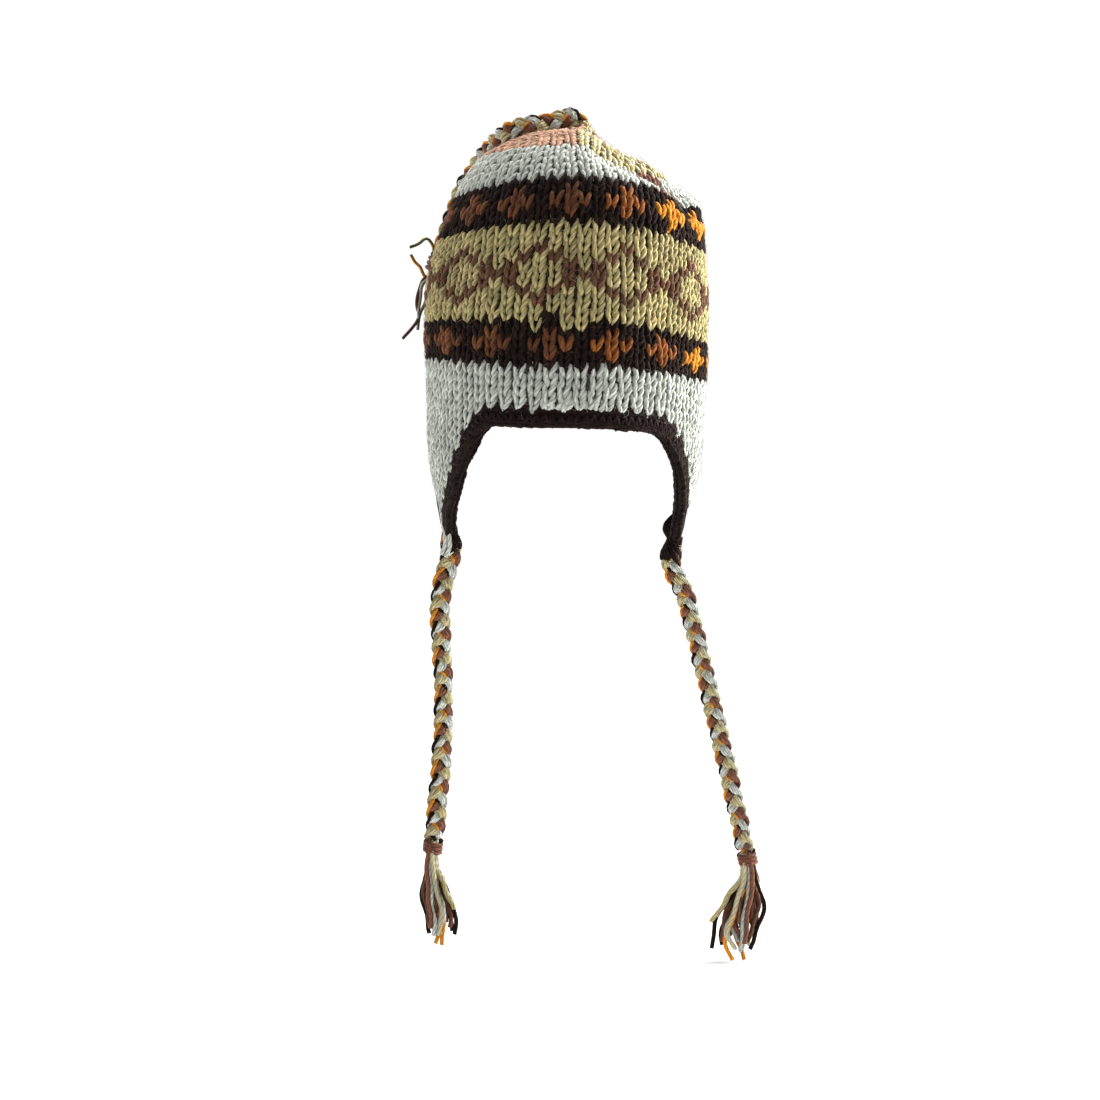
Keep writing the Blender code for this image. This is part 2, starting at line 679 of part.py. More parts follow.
def main():
    for old in list(bpy.data.objects):
        bpy.data.objects.remove(old, do_unlink=True)
    build_crown()
    build_flap("ear_flap_left", FLAP_AT_LEFT, FLAP_SPAN_LEFT)
    build_flap("ear_flap_right", FLAP_AT_RIGHT, FLAP_SPAN_RIGHT)
    build_edging()
    forward = np.array([0.0, 1.0, 0.0])
    ties = (
        ("left", FLAP_AT_LEFT, TIE_LENGTH_LEFT, ROUTE_LEFT),
        ("right", FLAP_AT_RIGHT, TIE_LENGTH_RIGHT, ROUTE_RIGHT),
    )
    for side, middle, length, route in ties:
        line = tie_line(middle, length, route)
        tube("braid_" + side, line, BRAID_BROWN)
        heading = unit(line[-1] - line[-2])
        locks = hanging_locks(line[-1], heading, forward)
        tassel("tassel_" + side, line[-1], heading, forward, locks, TASSEL_BROWN)
    line = top_line()
    tube("top_braid", line, BRAID_BROWN)
    heading = unit(line[-1] - line[-2])
    last_angle = np.array(math.radians(ROUTE_TOP[-1][0]))
    out = outward(folded, last_angle, np.array(ROUTE_TOP[-1][1]))
    locks = lying_locks(line[-1], heading, out)
    tassel("top_tassel", line[-1], heading, out, locks, TASSEL_BROWN)


main()
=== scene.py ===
# %% [markdown]
# A chullo is a wool hat from the Andes: a knitted crown, two knitted ear flaps, a crocheted edge, and plaited
# ties. It could be one smooth surface with a texture of knitting on it, but thick hand-spun wool has an outline
# and shadows of its own. So this lesson builds the hat out of yarn: each stitch is one loop of a tube, laid on
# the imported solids, which give it its form. The frame comes first and is never changed.
# %% Load the frame
import math

import bpy
import numpy as np
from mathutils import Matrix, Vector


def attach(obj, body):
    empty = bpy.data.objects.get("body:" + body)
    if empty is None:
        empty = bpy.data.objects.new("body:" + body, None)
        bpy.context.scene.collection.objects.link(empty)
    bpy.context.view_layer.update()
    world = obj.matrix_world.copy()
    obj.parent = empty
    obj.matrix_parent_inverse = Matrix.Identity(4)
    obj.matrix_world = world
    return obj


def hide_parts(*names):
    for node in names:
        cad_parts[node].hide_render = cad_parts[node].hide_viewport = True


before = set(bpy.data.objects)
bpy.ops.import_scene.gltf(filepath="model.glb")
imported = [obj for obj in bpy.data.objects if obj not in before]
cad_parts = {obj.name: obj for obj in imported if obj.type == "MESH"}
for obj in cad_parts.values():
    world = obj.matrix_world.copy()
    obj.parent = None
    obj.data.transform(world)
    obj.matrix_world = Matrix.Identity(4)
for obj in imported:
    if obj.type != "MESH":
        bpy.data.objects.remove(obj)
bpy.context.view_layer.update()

# %% [markdown]
# The camera stands two metres behind the hat and looks a little down, as the photograph was taken. A short lens
# close by could frame the hat as well, but it would bend the bands into arcs. A long lens from further away
# keeps them nearly straight, as they are in the picture.
# %% Camera behind the hat
CAMERA_AWAY = 2.0
CAMERA_DOWN = math.radians(1.97)
LOOKED_AT = np.array([-0.010, 0.0, -0.078])
camera_data = bpy.data.cameras.new("camera")
camera_data.lens = 104.7
camera_data.sensor_width = 36.0
camera = bpy.data.objects.new("camera", camera_data)
bpy.context.collection.objects.link(camera)
camera.location = LOOKED_AT - CAMERA_AWAY * np.array([0.0, math.cos(CAMERA_DOWN), -math.sin(CAMERA_DOWN)])
camera.rotation_euler = (math.radians(90.0) - CAMERA_DOWN, 0.0, 0.0)
bpy.context.scene.camera = camera
print("camera at", [round(c, 3) for c in camera.location])

# %% [markdown]
# Wool yarn is fibres twisted into plies and plies twisted into yarn. The plies could be tubes of their own, for
# many times the triangles; a shader shows the same at this distance, so one recipe serves every colour. The UV
# map of a yarn runs along it in centimetres and once round it, so a slanted stripe in UV is a ply. The stripe
# gives the bump and darkens the groove as painted shade. The side of each yarn that faces into the cloth is
# painted darker as well, as painted shade. A finer noise stretched along the ply gives the fibres. A slow noise
# and a value stored for each strand give the uneven, hand-dyed colour. Sheen stands for the loose fibres that
# catch light at the edge of every strand.
# %% Helpers for shader nodes
def node(tree, kind, **settings):
    made = tree.nodes.new("ShaderNode" + kind)
    for key, value in settings.items():
        setattr(made, key, value)
    return made


def maths(tree, operation, first, second=None, third=None):
    made = node(tree, "Math", operation=operation)
    for socket, value in zip(made.inputs, (first, second, third)):
        if value is None:
            continue
        if isinstance(value, (int, float)):
            socket.default_value = value
        else:
            tree.links.new(value, socket)
    return made.outputs[0]


def map_range(tree, value, source, target):
    """A value that runs over the target range while the given one runs over the source range."""
    made = node(tree, "MapRange")
    for key, setting in zip(("From Min", "From Max", "To Min", "To Max"), (*source, *target)):
        made.inputs[key].default_value = setting
    tree.links.new(value, made.inputs["Value"])
    return made.outputs[0]


print("helpers for shader nodes ready")

# %% A recipe for wool
WOOL = {}
TURNS_A_CM = 2.2  # twist of the plies along a yarn
PLIES = 4.0
SLOW_NOISE = 210.0  # patches of dye, about 5 mm across
PLY_RELIEF = 0.00055  # depth of the groove between plies, in metres


def wool(
    name, colour, dark=0.5, fleck=(0.5, 0.5, 0.5), fleck_share=0.12, uneven=0.3, sheen=0.14, flank_shade_level=0.18, gloss=0.25
):
    """A wool of one dye lot: its colour, its painted shade in ply grooves and inner flanks, and its stray fibres."""
    mat = bpy.data.materials.new("wool_" + name)
    mat.use_nodes = True
    tree = mat.node_tree
    link = tree.links.new

    def times(first, second):
        return maths(tree, "MULTIPLY", first, second)

    skin = tree.nodes["Principled BSDF"]
    tint = (*[min(1.0, c * 1.6 + 0.12) for c in colour], 1.0)
    for key, value in (
        ("Roughness", 0.92),
        ("Specular IOR Level", gloss),
        ("Sheen Weight", sheen),
        ("Sheen Roughness", 0.45),
        ("Sheen Tint", tint),
    ):
        skin.inputs[key].default_value = value
    place = node(tree, "UVMap")
    parts = node(tree, "SeparateXYZ")
    link(place.outputs["UV"], parts.inputs[0])
    turn = maths(tree, "MULTIPLY_ADD", parts.outputs["X"], TURNS_A_CM, times(parts.outputs["Y"], PLIES))
    # painted shade: the ply stripe also darkens the colour in the groove between plies, as far as dark sets
    ply = maths(tree, "ABSOLUTE", maths(tree, "SINE", times(turn, math.pi)))
    ply = maths(tree, "POWER", ply, 0.6)
    where = node(tree, "CombineXYZ")
    link(times(parts.outputs["X"], 1.6), where.inputs["X"])
    link(times(turn, 4.0), where.inputs["Y"])
    strand = node(tree, "Attribute", attribute_name="strand")
    link(times(strand.outputs["Fac"], 57.0), where.inputs["Z"])
    fibre = node(tree, "TexNoise")
    fibre.inputs["Scale"].default_value = 1.6
    fibre.inputs["Detail"].default_value = 3.0
    link(where.outputs[0], fibre.inputs["Vector"])
    stray = node(tree, "ValToRGB")
    for end, position, grey in zip(stray.color_ramp.elements, (0.60, 0.74), (0.0, 1.0)):
        end.position = position
        end.color = (grey, grey, grey, 1.0)
    link(fibre.outputs["Fac"], stray.inputs[0])
    slow = node(tree, "TexNoise")
    slow.inputs["Scale"].default_value = SLOW_NOISE
    slow.inputs["Detail"].default_value = 2.0
    link(node(tree, "TexCoord").outputs["Object"], slow.inputs["Vector"])
    tone = maths(tree, "MULTIPLY_ADD", maths(tree, "SUBTRACT", slow.outputs["Fac"], 0.5), uneven, 1.0)
    tone = maths(tree, "ADD", tone, times(maths(tree, "SUBTRACT", strand.outputs["Fac"], 0.5), uneven))
    # painted shade: each yarn is darker on the side that faces into the cloth than on its outside
    painted_flank_shade = maths(tree, "SINE", times(parts.outputs["Y"], 2.0 * math.pi))
    painted_flank_shade = maths(tree, "MULTIPLY_ADD", painted_flank_shade, 0.5 * (1.0 - flank_shade_level), 0.5 * (1.0 + flank_shade_level))
    # the dye's tone times the painted shade of the ply grooves and of the inward side of the yarn
    bright = times(tone, times(maths(tree, "MULTIPLY_ADD", ply, 1.0 - dark, dark), painted_flank_shade))
    base = node(tree, "RGB")
    base.outputs[0].default_value = (*colour, 1.0)
    mixed = node(tree, "MixRGB", blend_type="MIX")
    link(times(stray.outputs[0], fleck_share * 2.2), mixed.inputs[0])
    link(base.outputs[0], mixed.inputs[1])
    mixed.inputs[2].default_value = (*fleck, 1.0)
    lit = node(tree, "VectorMath", operation="SCALE")
    link(mixed.outputs[0], lit.inputs[0])
    link(bright, lit.inputs["Scale"])
    link(lit.outputs[0], skin.inputs["Base Color"])
    relief = maths(tree, "MULTIPLY_ADD", fibre.outputs["Fac"], 0.45, ply)
    bump = node(tree, "Bump")
    bump.inputs["Strength"].default_value = 0.7
    bump.inputs["Distance"].default_value = PLY_RELIEF
    link(relief, bump.inputs["Height"])
    link(bump.outputs[0], skin.inputs["Normal"])
    WOOL[name] = mat


wool("off_white", (0.58, 0.60, 0.535), dark=0.46, fleck=(0.30, 0.31, 0.27), fleck_share=0.15, flank_shade_level=0.10)
wool("khaki", (0.475, 0.395, 0.178), dark=0.42, fleck=(0.24, 0.18, 0.07), fleck_share=0.20, uneven=0.46, flank_shade_level=0.04)
print("first wools", sorted(WOOL))

# %% The other dye lots
DARK_FLECK = (0.055, 0.028, 0.018)
DARK_BROWN = (0.017, 0.0095, 0.0075)
wool("dark_brown", DARK_BROWN, fleck=DARK_FLECK, fleck_share=0.25, uneven=0.7, sheen=0.025, gloss=0.10)
# painted light: rust, orange_rust and orange serve as shaded and lit copies of the stars' wool, brighter on the
# right; rust and orange are also real yarns of the plaits and tassels
wool("rust", (0.155, 0.053, 0.018), dark=0.42, fleck=(0.06, 0.03, 0.02), fleck_share=0.26, uneven=0.6)
wool("orange_rust", (0.27, 0.082, 0.014), dark=0.42, fleck=(0.10, 0.05, 0.03), fleck_share=0.22, uneven=0.55)
wool("orange", (0.74, 0.27, 0.018), fleck=(0.35, 0.14, 0.04), fleck_share=0.12, uneven=0.4)
wool("lattice_brown", (0.135, 0.060, 0.030), fleck=(0.26, 0.17, 0.11), fleck_share=0.14, uneven=0.5)
wool("red_brown", (0.20, 0.078, 0.044), fleck=(0.40, 0.25, 0.17), fleck_share=0.14, uneven=0.5)
wool("cream", (0.60, 0.54, 0.34), fleck=(0.45, 0.38, 0.20), fleck_share=0.14)
wool("rust_brown", (0.56, 0.325, 0.215), fleck=(0.58, 0.40, 0.30), fleck_share=0.20, uneven=0.4)
# painted shade: the backs are copies of the wools in front made far darker, so the gaps between loops look shaded
wool("off_white_back", (0.050, 0.051, 0.042), sheen=0.03, flank_shade_level=1.0)
wool("khaki_back", (0.022, 0.014, 0.005), sheen=0.03, flank_shade_level=1.0)
wool("rust_back", (0.05, 0.022, 0.013), sheen=0.03, flank_shade_level=1.0)
print("wools", sorted(WOOL))

# %% [markdown]
# A yarn is a tube along a line of points. A curve with a bevel would do for one yarn, but the hat has thousands,
# and a curve carries no UV map in centimetres. So one helper takes all the lines of a piece as arrays and makes
# one joined mesh: a ring of points round every line point, faces between the rings, a cap on each end, a UV map
# along the yarn, and a value per strand for its dye.
# %% Yarn from lines
rng = np.random.default_rng(20)
CM = 100.0  # centimetres in a metre


def unit(v):
    return v / np.maximum(np.linalg.norm(v, axis=-1, keepdims=True), 1e-12)


def yarns(lines, radii, out, sides, wool_name):
    """Yarns of one wool: lines is (yarns, points, 3). radii and out, the direction from which the ring of points
    round a yarn is counted, may be one value for several points."""
    lines = np.asarray(lines, dtype=float)
    radii, out = np.broadcast_to(radii, lines.shape[:2]), np.broadcast_to(out, lines.shape)
    return {"lines": lines, "radii": radii, "out": out, "sides": sides, "wool": wool_name}


def tube_parts(bundle):
    """Points, faces, UVs, strand values and caps of the tubes of a bundle of yarns."""
    lines, radii, out, sides = (bundle[key] for key in ("lines", "radii", "out", "sides"))
    count, steps = lines.shape[:2]
    heading = unit(np.gradient(lines, axis=1))
    up = unit(out - heading * np.sum(out * heading, axis=-1, keepdims=True))
    side = np.cross(heading, up)
    turn = np.linspace(0.0, 2.0 * math.pi, sides, endpoint=False)[None, None, :, None]
    ring = side[:, :, None, :] * np.cos(turn) + up[:, :, None, :] * np.sin(turn)
    points = (lines[:, :, None, :] + ring * radii[:, :, None, None]).reshape(-1, 3)
    m, p, k = np.meshgrid(np.arange(count), np.arange(steps - 1), np.arange(sides), indexing="ij")
    here = (m * steps + p) * sides
    nxt = (k + 1) % sides
    quads = np.stack([here + k, here + nxt, here + sides + nxt, here + sides + k], axis=-1).reshape(-1, 4)
    gone = np.cumsum(np.linalg.norm(np.diff(lines, axis=1), axis=-1), axis=1)
    length = np.concatenate([np.zeros((count, 1)), gone], axis=1) * CM
    length = length + rng.random((count, 1)) * 7.0
    u0 = length[m, p]
    u1 = length[m, p + 1]
    v0 = k / sides
    v1 = (k + 1) / sides
    corners = [np.stack(corner, -1) for corner in ((u0, v0), (u0, v1), (u1, v1), (u1, v0))]
    uv = np.stack(corners, axis=-2)
    strand = np.repeat(rng.random(count), steps * sides)
    first = np.arange(count) * steps * sides
    caps = np.concatenate(
        [first[:, None] + np.arange(sides)[::-1], first[:, None] + (steps - 1) * sides + np.arange(sides)]
    )
    return points, quads, uv.reshape(-1, 2), strand, caps


print("unit length of a slanted way:", float(np.linalg.norm(unit(np.array([3.0, 4.0, 12.0])))))

# %% One piece from many yarns
def finish_piece(name, mesh, wools, mats, nodes):
    """Give a mesh its wools and smooth faces, hang it from the frame's root, and hide the solids it stands for."""
    mesh.polygons.foreach_set("material_index", np.asarray(mats, dtype=np.int32))
    mesh.polygons.foreach_set("use_smooth", np.ones(len(mesh.polygons), dtype=bool))
    for wool_name in wools:
        mesh.materials.append(WOOL[wool_name])
    piece = bpy.data.objects.new(name, mesh)
    bpy.context.collection.objects.link(piece)
    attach(piece, "root")
    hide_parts(*nodes)
    print(name, "faces", len(mesh.polygons))
    return piece


def yarn_piece(name, bundles, slot, *nodes):
    """One joined mesh from bundles of yarns."""
    made, loops, totals, mats, cap_mats, wools, base = [], [], [], [], [], [], 0
    for bundle in bundles:
        if bundle["wool"] not in wools:
            wools.append(bundle["wool"])
        index = wools.index(bundle["wool"])
        points, quads, uv, strand, caps = tube_parts(bundle)
        made.append((points, quads + base, uv, strand))
        loops.append((caps + base).reshape(-1))
        totals.append(np.full(len(caps), bundle["sides"]))
        mats.append(np.full(len(quads), index))
        cap_mats.append(np.full(len(caps), index))
        base += len(points)
    points, quads, uv, strand = (np.concatenate(kind) for kind in zip(*made))
    loops = np.concatenate([quads.reshape(-1), *loops])
    totals = np.concatenate([np.full(len(quads), 4), *totals])
    mesh = bpy.data.meshes.new(name)
    mesh.vertices.add(len(points))
    mesh.vertices.foreach_set("co", points.astype(np.float32).reshape(-1))
    mesh.loops.add(len(loops))
    mesh.loops.foreach_set("vertex_index", loops.astype(np.int32))
    mesh.polygons.add(len(totals))
    starts = np.concatenate([[0], np.cumsum(totals)[:-1]])
    mesh.polygons.foreach_set("loop_start", starts.astype(np.int32))
    mesh.update(calc_edges=True)
    full = np.zeros((len(loops), 2), dtype=np.float32)
    full[: len(uv)] = uv
    mesh.uv_layers.new(name="along_yarn").data.foreach_set("uv", full.reshape(-1))
    value = mesh.attributes.new("strand", "FLOAT", "POINT")
    value.data.foreach_set("value", strand.astype(np.float32))
    return finish_piece(name, mesh, wools, np.concatenate(mats + cap_mats), nodes)


print("wools that a piece can use:", len(WOOL))

# %% [markdown]
# The ties and the top braid are three-strand plaits of several yarns each. One thick tube with a plait drawn on
# it would have a straight outline, so the strands are laid one by one. In a flat plait each strand swings from
# side to side and dips under its neighbour twice as often: a sine across and a sine of twice the speed through
# the plait. Each strand is a ribbon of yarns: reddish brown with orange, cream with khaki, and off-white with
# dark brown, in the order in which the colours come round on the real ties. The routes are those of the packed
# cords.
# %% Routes of the ties and the top braid
LEFT_TIE = (
    (-0.0721, -0.0149, -0.0692), (-0.0710, -0.0146, -0.0755), (-0.0773, -0.0123, -0.1017),
    (-0.0782, -0.0087, -0.1279), (-0.0768, -0.0046, -0.1542), (-0.0767, -0.0009, -0.1804),
    (-0.0778, 0.0026, -0.2066), (-0.0802, 0.0058, -0.2328), (-0.0831, 0.0089, -0.2591),
)
RIGHT_TIE = (
    (0.0669, -0.0015, -0.0747), (0.0655, -0.0015, -0.0810), (0.0747, 0.0012, -0.1078),
    (0.0820, 0.0048, -0.1346), (0.0889, 0.0091, -0.1614), (0.0953, 0.0133, -0.1882),
    (0.1015, 0.0171, -0.2150), (0.1077, 0.0205, -0.2418), (0.1139, 0.0236, -0.2686),
)
TOP_BRAID = (
    (0.0083, 0.0040, 0.1868), (0.0044, 0.0040, 0.1911), (-0.0102, 0.0012, 0.1900),
    (-0.0248, -0.0016, 0.1887), (-0.0379, 0.0031, 0.1840), (-0.0467, 0.0136, 0.1783),
    (-0.0521, 0.0249, 0.1703), (-0.0590, 0.0344, 0.1613), (-0.0657, 0.0421, 0.1504),
    (-0.0710, 0.0470, 0.1374), (-0.0756, 0.0504, 0.1236), (-0.0805, 0.0507, 0.1096),
)
SINK = 0.0024  # wool gives way: the plait sinks a little into the knit that it lies on
SIDE_STARTS_AT = -0.05  # further left it hangs down the side and sinks less
MIDDLE_OF_CROWN = np.array([0.0, 0.0, 0.10])


def sunk(point):
    """A point of the top braid moved in towards the middle of the crown."""
    inward = MIDDLE_OF_CROWN - point
    depth = SINK * (0.4 if point[0] < SIDE_STARTS_AT else 1.0)
    return point + depth * inward / np.linalg.norm(inward)


TOP_BRAID = [np.array(p) if k < 2 else sunk(np.array(p)) for k, p in enumerate(TOP_BRAID)]
print("the top braid ends at", TOP_BRAID[-1].round(4).tolist())

# %% Read a table as a smooth curve
def along(table, x):
    """The row of a table at x, read as a smooth curve through its rows."""
    keys, values = table[:, 0], table[:, 1:]
    slopes = np.gradient(values, keys, axis=0)
    x = np.clip(x, keys[0], keys[-1])
    low = np.clip(np.searchsorted(keys, x, side="right") - 1, 0, len(keys) - 2)
    span = keys[low + 1] - keys[low]
    s = ((x - keys[low]) / span)[..., None]
    span = span[..., None]
    rest = 1.0 - s
    return (
        values[low] * (1.0 + 2.0 * s) * rest**2
        + values[low + 1] * s**2 * (3.0 - 2.0 * s)
        + slopes[low] * span * s * rest**2
        - slopes[low + 1] * span * s**2 * rest
    )


print("half way between 0, 1 and 4:", along(np.array([[0.0, 0.0], [1.0, 1.0], [2.0, 4.0]]), np.array([1.5])))

# %% Even spacing along a route
def distance_along(line):
    return np.concatenate([[0.0], np.cumsum(np.linalg.norm(np.diff(line, axis=0), axis=1))])


def resample(points, count):
    """Evenly spaced points on a smooth line through the route's points, and the length of the line."""
    points = np.asarray(points, dtype=float)
    keys = distance_along(points)
    line = along(np.column_stack([keys, points]), np.linspace(0.0, keys[-1], 400))
    length = distance_along(line)
    wanted = np.linspace(0.0, length[-1], count)
    return np.column_stack([np.interp(wanted, length, line[:, a]) for a in range(3)]), length[-1]


print("routes:", [round(resample(route, 10)[1], 4) for route in (LEFT_TIE, RIGHT_TIE, TOP_BRAID)], "m")

# %% Make-up of a strand
PLAIT_LENGTH = 0.0245  # along the plait until a strand is back at its own side
YARN = 0.00128  # radius of a plaited yarn
STRANDS = (
    ("red_brown", "red_brown", "red_brown", "orange", "red_brown"),
    ("cream", "khaki", "cream", "khaki", "cream"),
    ("off_white", "off_white", "off_white", "dark_brown", "off_white"),
)
RIBBON = ((-1.0, 0.0), (-0.42, 0.55), (0.18, 0.62), (1.0, 0.0), (0.45, -0.5))  # across and through a strand
RIBBON_HALF = 0.0026
SWING = 0.0035
DIP = 0.0022
print("yarns in a plait:", sum(len(strand) for strand in STRANDS))

# %% Loose hairs, and the dark ends of the ties
HAIR_RADII = (0.00007, 0.00007, 0.00006, 0.00004)
DARK_END_RADIUS = 0.00150


def hair_bundles(root, out, colour, length):
    """Loose fibres that stand off the wool at the roots: thin curved lines that mostly lie along it."""
    n = len(root)
    sideways = unit(np.cross(out, rng.normal(0.0, 1.0, (n, 3))))
    sway = unit(np.cross(out, sideways))
    t = np.linspace(0.0, 1.0, 4)[None, :, None]
    reach = length * (0.4 + rng.random((n, 1, 1)))
    lift = 0.25 + 0.45 * rng.random((n, 1, 1))
    bend = 0.5 * rng.normal(0.0, 1.0, (n, 1, 1))
    arc = sideways[:, None] * t + out[:, None] * lift * t * (1.35 - t) + sway[:, None] * bend * t**2
    return [yarns(root[:, None] + reach * arc, HAIR_RADII, out[:, None], 3, colour)]


def dark_end(middle, side, up, place, turn, reach):
    """Dark yarns round the top of a tie, where the edging's last stitches are worked over it."""
    at = np.stack([np.interp(place, np.arange(len(middle)), middle[:, k]) for k in range(3)], axis=-1)
    around = side * np.cos(turn)[..., None] + up * np.sin(turn)[..., None]
    return yarns(at + around * reach[..., None], DARK_END_RADIUS, around, 6, "dark_brown")


print("a hair is", 2e3 * HAIR_RADII[0], "mm thick")

# %% Plait three strands along a route
DARK_ENDS = 15
INTO_THE_EDGING = 0.0056  # how far the dark ends reach up past the plait's start
HAIRS = 260
PLAIT_STEPS = 15  # points along one PLAIT_LENGTH


def plait(name, node_name, route, face, phase, wrapped=True):
    """A three-strand plait along a route. face is the way that the flat side of the plait looks."""
    _, total = resample(route, 10)
    steps = int(total / PLAIT_LENGTH * PLAIT_STEPS) + 1
    middle, total = resample(route, steps)
    heading = unit(np.gradient(middle, axis=0))
    face = np.tile(np.asarray(face, dtype=float), (steps, 1))
    up = unit(face - heading * np.sum(face * heading, axis=1, keepdims=True))
    side = np.cross(heading, up)
    run = np.linspace(0.0, total, steps)
    bundles = []
    for j, strand in enumerate(STRANDS):
        angle = 2.0 * math.pi * (run / PLAIT_LENGTH + j / 3.0) + phase + 0.12 * np.sin(run * 95.0 + j)
        centre = middle + side * (SWING * np.sin(angle))[:, None] + up * (DIP * np.sin(2.0 * angle))[:, None]
        own = unit(np.gradient(centre, axis=0))
        flat = unit(np.cross(own, up))
        rise = np.cross(flat, own)
        sign = np.where(np.sum(flat * side, axis=1) < 0.0, -1.0, 1.0)[:, None]
        flat = flat * sign
        squeeze = 1.0 - 0.28 * np.sin(angle) ** 2
        for (across, through), yarn in zip(RIBBON, strand):
            line = (
                centre
                + flat * ((across + 0.22 * np.sin(run * 210.0 + 9.0 * across + j)) * RIBBON_HALF * squeeze)[:, None]
                + up * (through * 0.0011 * np.sin(2.0 * angle + 0.3))[:, None]
                + rise * (0.00018 * np.sin(run * 700.0 + across * 5.0))[:, None]
            )
            bundles.append(yarns(line[None], YARN * (1.0 + 0.05 * np.sin(run * 420.0 + j)), up, 6, yarn))
    if wrapped:
        aside = 0.0015 if middle[0, 0] > 0.0 else 0.0
        longer = np.vstack([middle[0] + (aside, 0.0, INTO_THE_EDGING), middle])
        first = 2.0 * math.pi * (np.arange(DARK_ENDS) + 0.3 * rng.random(DARK_ENDS)) / DARK_ENDS
        t = np.linspace(0.0, 1.0, 18)
        place = t * (1.0 + (0.034 + 0.016 * rng.random((DARK_ENDS, 1))) * steps)
        turn = first[:, None] + 1.3 * t + 0.10 * rng.normal(0.0, 1.0, (DARK_ENDS, 1)) * t
        reach = 0.0034 + 0.0021 * np.sin(math.pi * 0.62 * t) + 0.0006 * (rng.random((DARK_ENDS, 1)) - 0.5) * t
        bundles.append(dark_end(longer, side[3], up[3], place, turn, reach))
    hairs = rng.integers(2, steps - 2, HAIRS)
    turn = rng.random(HAIRS) * 2.0 * math.pi
    around = side[hairs] * np.cos(turn)[:, None] + up[hairs] * np.sin(turn)[:, None]
    reach = np.where(np.abs(np.cos(turn)) > 0.6, 0.0048, 0.0036)
    bundles += hair_bundles(middle[hairs] + around * reach[:, None], around, "cream", 0.0035)
    piece = yarn_piece(name, bundles, "braid_wool", node_name)
    print(name, "length", round(total, 4))


plait("plait_left", "braid_left", LEFT_TIE, (0.30, -0.95, 0.0), 0.6)
plait("plait_right", "braid_right", RIGHT_TIE, (-0.50, -0.86, 0.0), 2.2)
plait("plait_top", "top_braid", TOP_BRAID, (-0.30, -0.90, 0.30), 1.2, wrapped=False)

# %% [markdown]
# The knitting lies on a face that is described by two numbers: an angle round the hat, 0 at the back, and a row
# counted up from the rim. Above the rim the rows climb the crown to the tip; below it they run down the ear
# flaps. A shrinkwrap onto the solid could find the face too, but it knows neither rows nor columns. The sizes and
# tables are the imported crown's own, so the yarn stays inside the space of the solid wool.
# %% Sizes of the hat
CROWN_HALF_WIDTH = 0.0885
CROWN_HALF_DEPTH = 0.1055
CROWN_HEIGHT = 0.180
RIM_LEVEL = 0.0066
WALL = 0.006
TIP_RADIUS = 0.0065
TIP = np.array([0.0085, 0.004, RIM_LEVEL + CROWN_HEIGHT])
TIP_TILT = math.radians(42.0)
FLAPS = (  # middle in degrees, drop, lean, height of the edging at its end
    (-80.0, 0.0680, 0.0085, 0.0135),
    (88.0, 0.0535, 0.0100, 0.0215),
)
FLAP_SPAN = 92.0
EDGING_HEIGHT = 0.0088
EDGING_THICKNESS = 0.0078
ROWS = 42
ROW = 0.0056  # height of a row
LOWER_STARS_ROW, LATTICE_ROW, UPPER_STARS_ROW, UPPER_WHITE_ROW, TOP_ROW = 5, 10, 21, 26, 31  # first rows
print("rows of the crown:", ROWS, "of", ROW * 1000.0, "mm")

# %% Sections and folds of the crown
# each ring: its way up, then the height at the back, left, right and front, and the reach left, right, back, front
RINGS = np.array(
    (
        (0.000, 0.000, 0.032, -0.039, 0.010, 0.983, 0.960, 0.948, 0.985),
        (0.119, 0.152, 0.189, 0.112, 0.161, 0.992, 0.992, 0.976, 1.002),
        (0.238, 0.308, 0.321, 0.242, 0.311, 1.000, 1.000, 0.990, 1.010),
        (0.381, 0.479, 0.474, 0.407, 0.481, 0.980, 1.002, 0.985, 1.005),
        (0.500, 0.630, 0.596, 0.553, 0.634, 0.905, 0.985, 0.948, 0.965),
        (0.571, 0.729, 0.682, 0.652, 0.722, 0.845, 0.968, 0.885, 0.900),
        (0.619, 0.790, 0.745, 0.717, 0.777, 0.793, 0.930, 0.820, 0.830),
        (0.690, 0.862, 0.831, 0.750, 0.833, 0.700, 0.815, 0.685, 0.690),
        (0.738, 0.907, 0.887, 0.780, 0.875, 0.605, 0.710, 0.575, 0.580),
        (0.810, 0.945, 0.933, 0.827, 0.918, 0.440, 0.530, 0.415, 0.430),
        (0.881, 0.972, 0.967, 0.878, 0.953, 0.270, 0.365, 0.260, 0.285),
        (0.940, 0.983, 0.981, 0.933, 0.974, 0.075, 0.245, 0.115, 0.185),
    )
)
# each fold: two ends as shares of the crown's sizes, then its width and its height in thicknesses of the wall
FOLDS = (
    (0.340, -0.560, 0.870, 0.830, -0.330, 0.730, 2.25, -1.42),
    (0.520, -0.180, 0.820, 0.760, 0.000, 0.780, 2.50, 0.92),
    (0.420, 0.200, 0.900, 0.640, 0.420, 0.800, 2.17, -1.00),
    (-0.520, 0.300, 0.900, -0.330, 0.620, 0.860, 2.33, -0.75),
    (-0.200, -0.930, 0.520, 0.250, -0.920, 0.560, 3.00, -0.33),
    (0.700, -0.700, 0.300, 0.860, -0.480, 0.120, 3.33, -0.47),
    (-0.930, -0.330, 0.560, -0.880, -0.450, 0.340, 3.33, 0.33),
    (-0.800, 0.600, 0.200, -0.600, 0.800, 0.450, 4.00, -0.58),
    (0.500, 0.860, 0.250, 0.620, 0.780, 0.550, 4.00, -0.50),
)
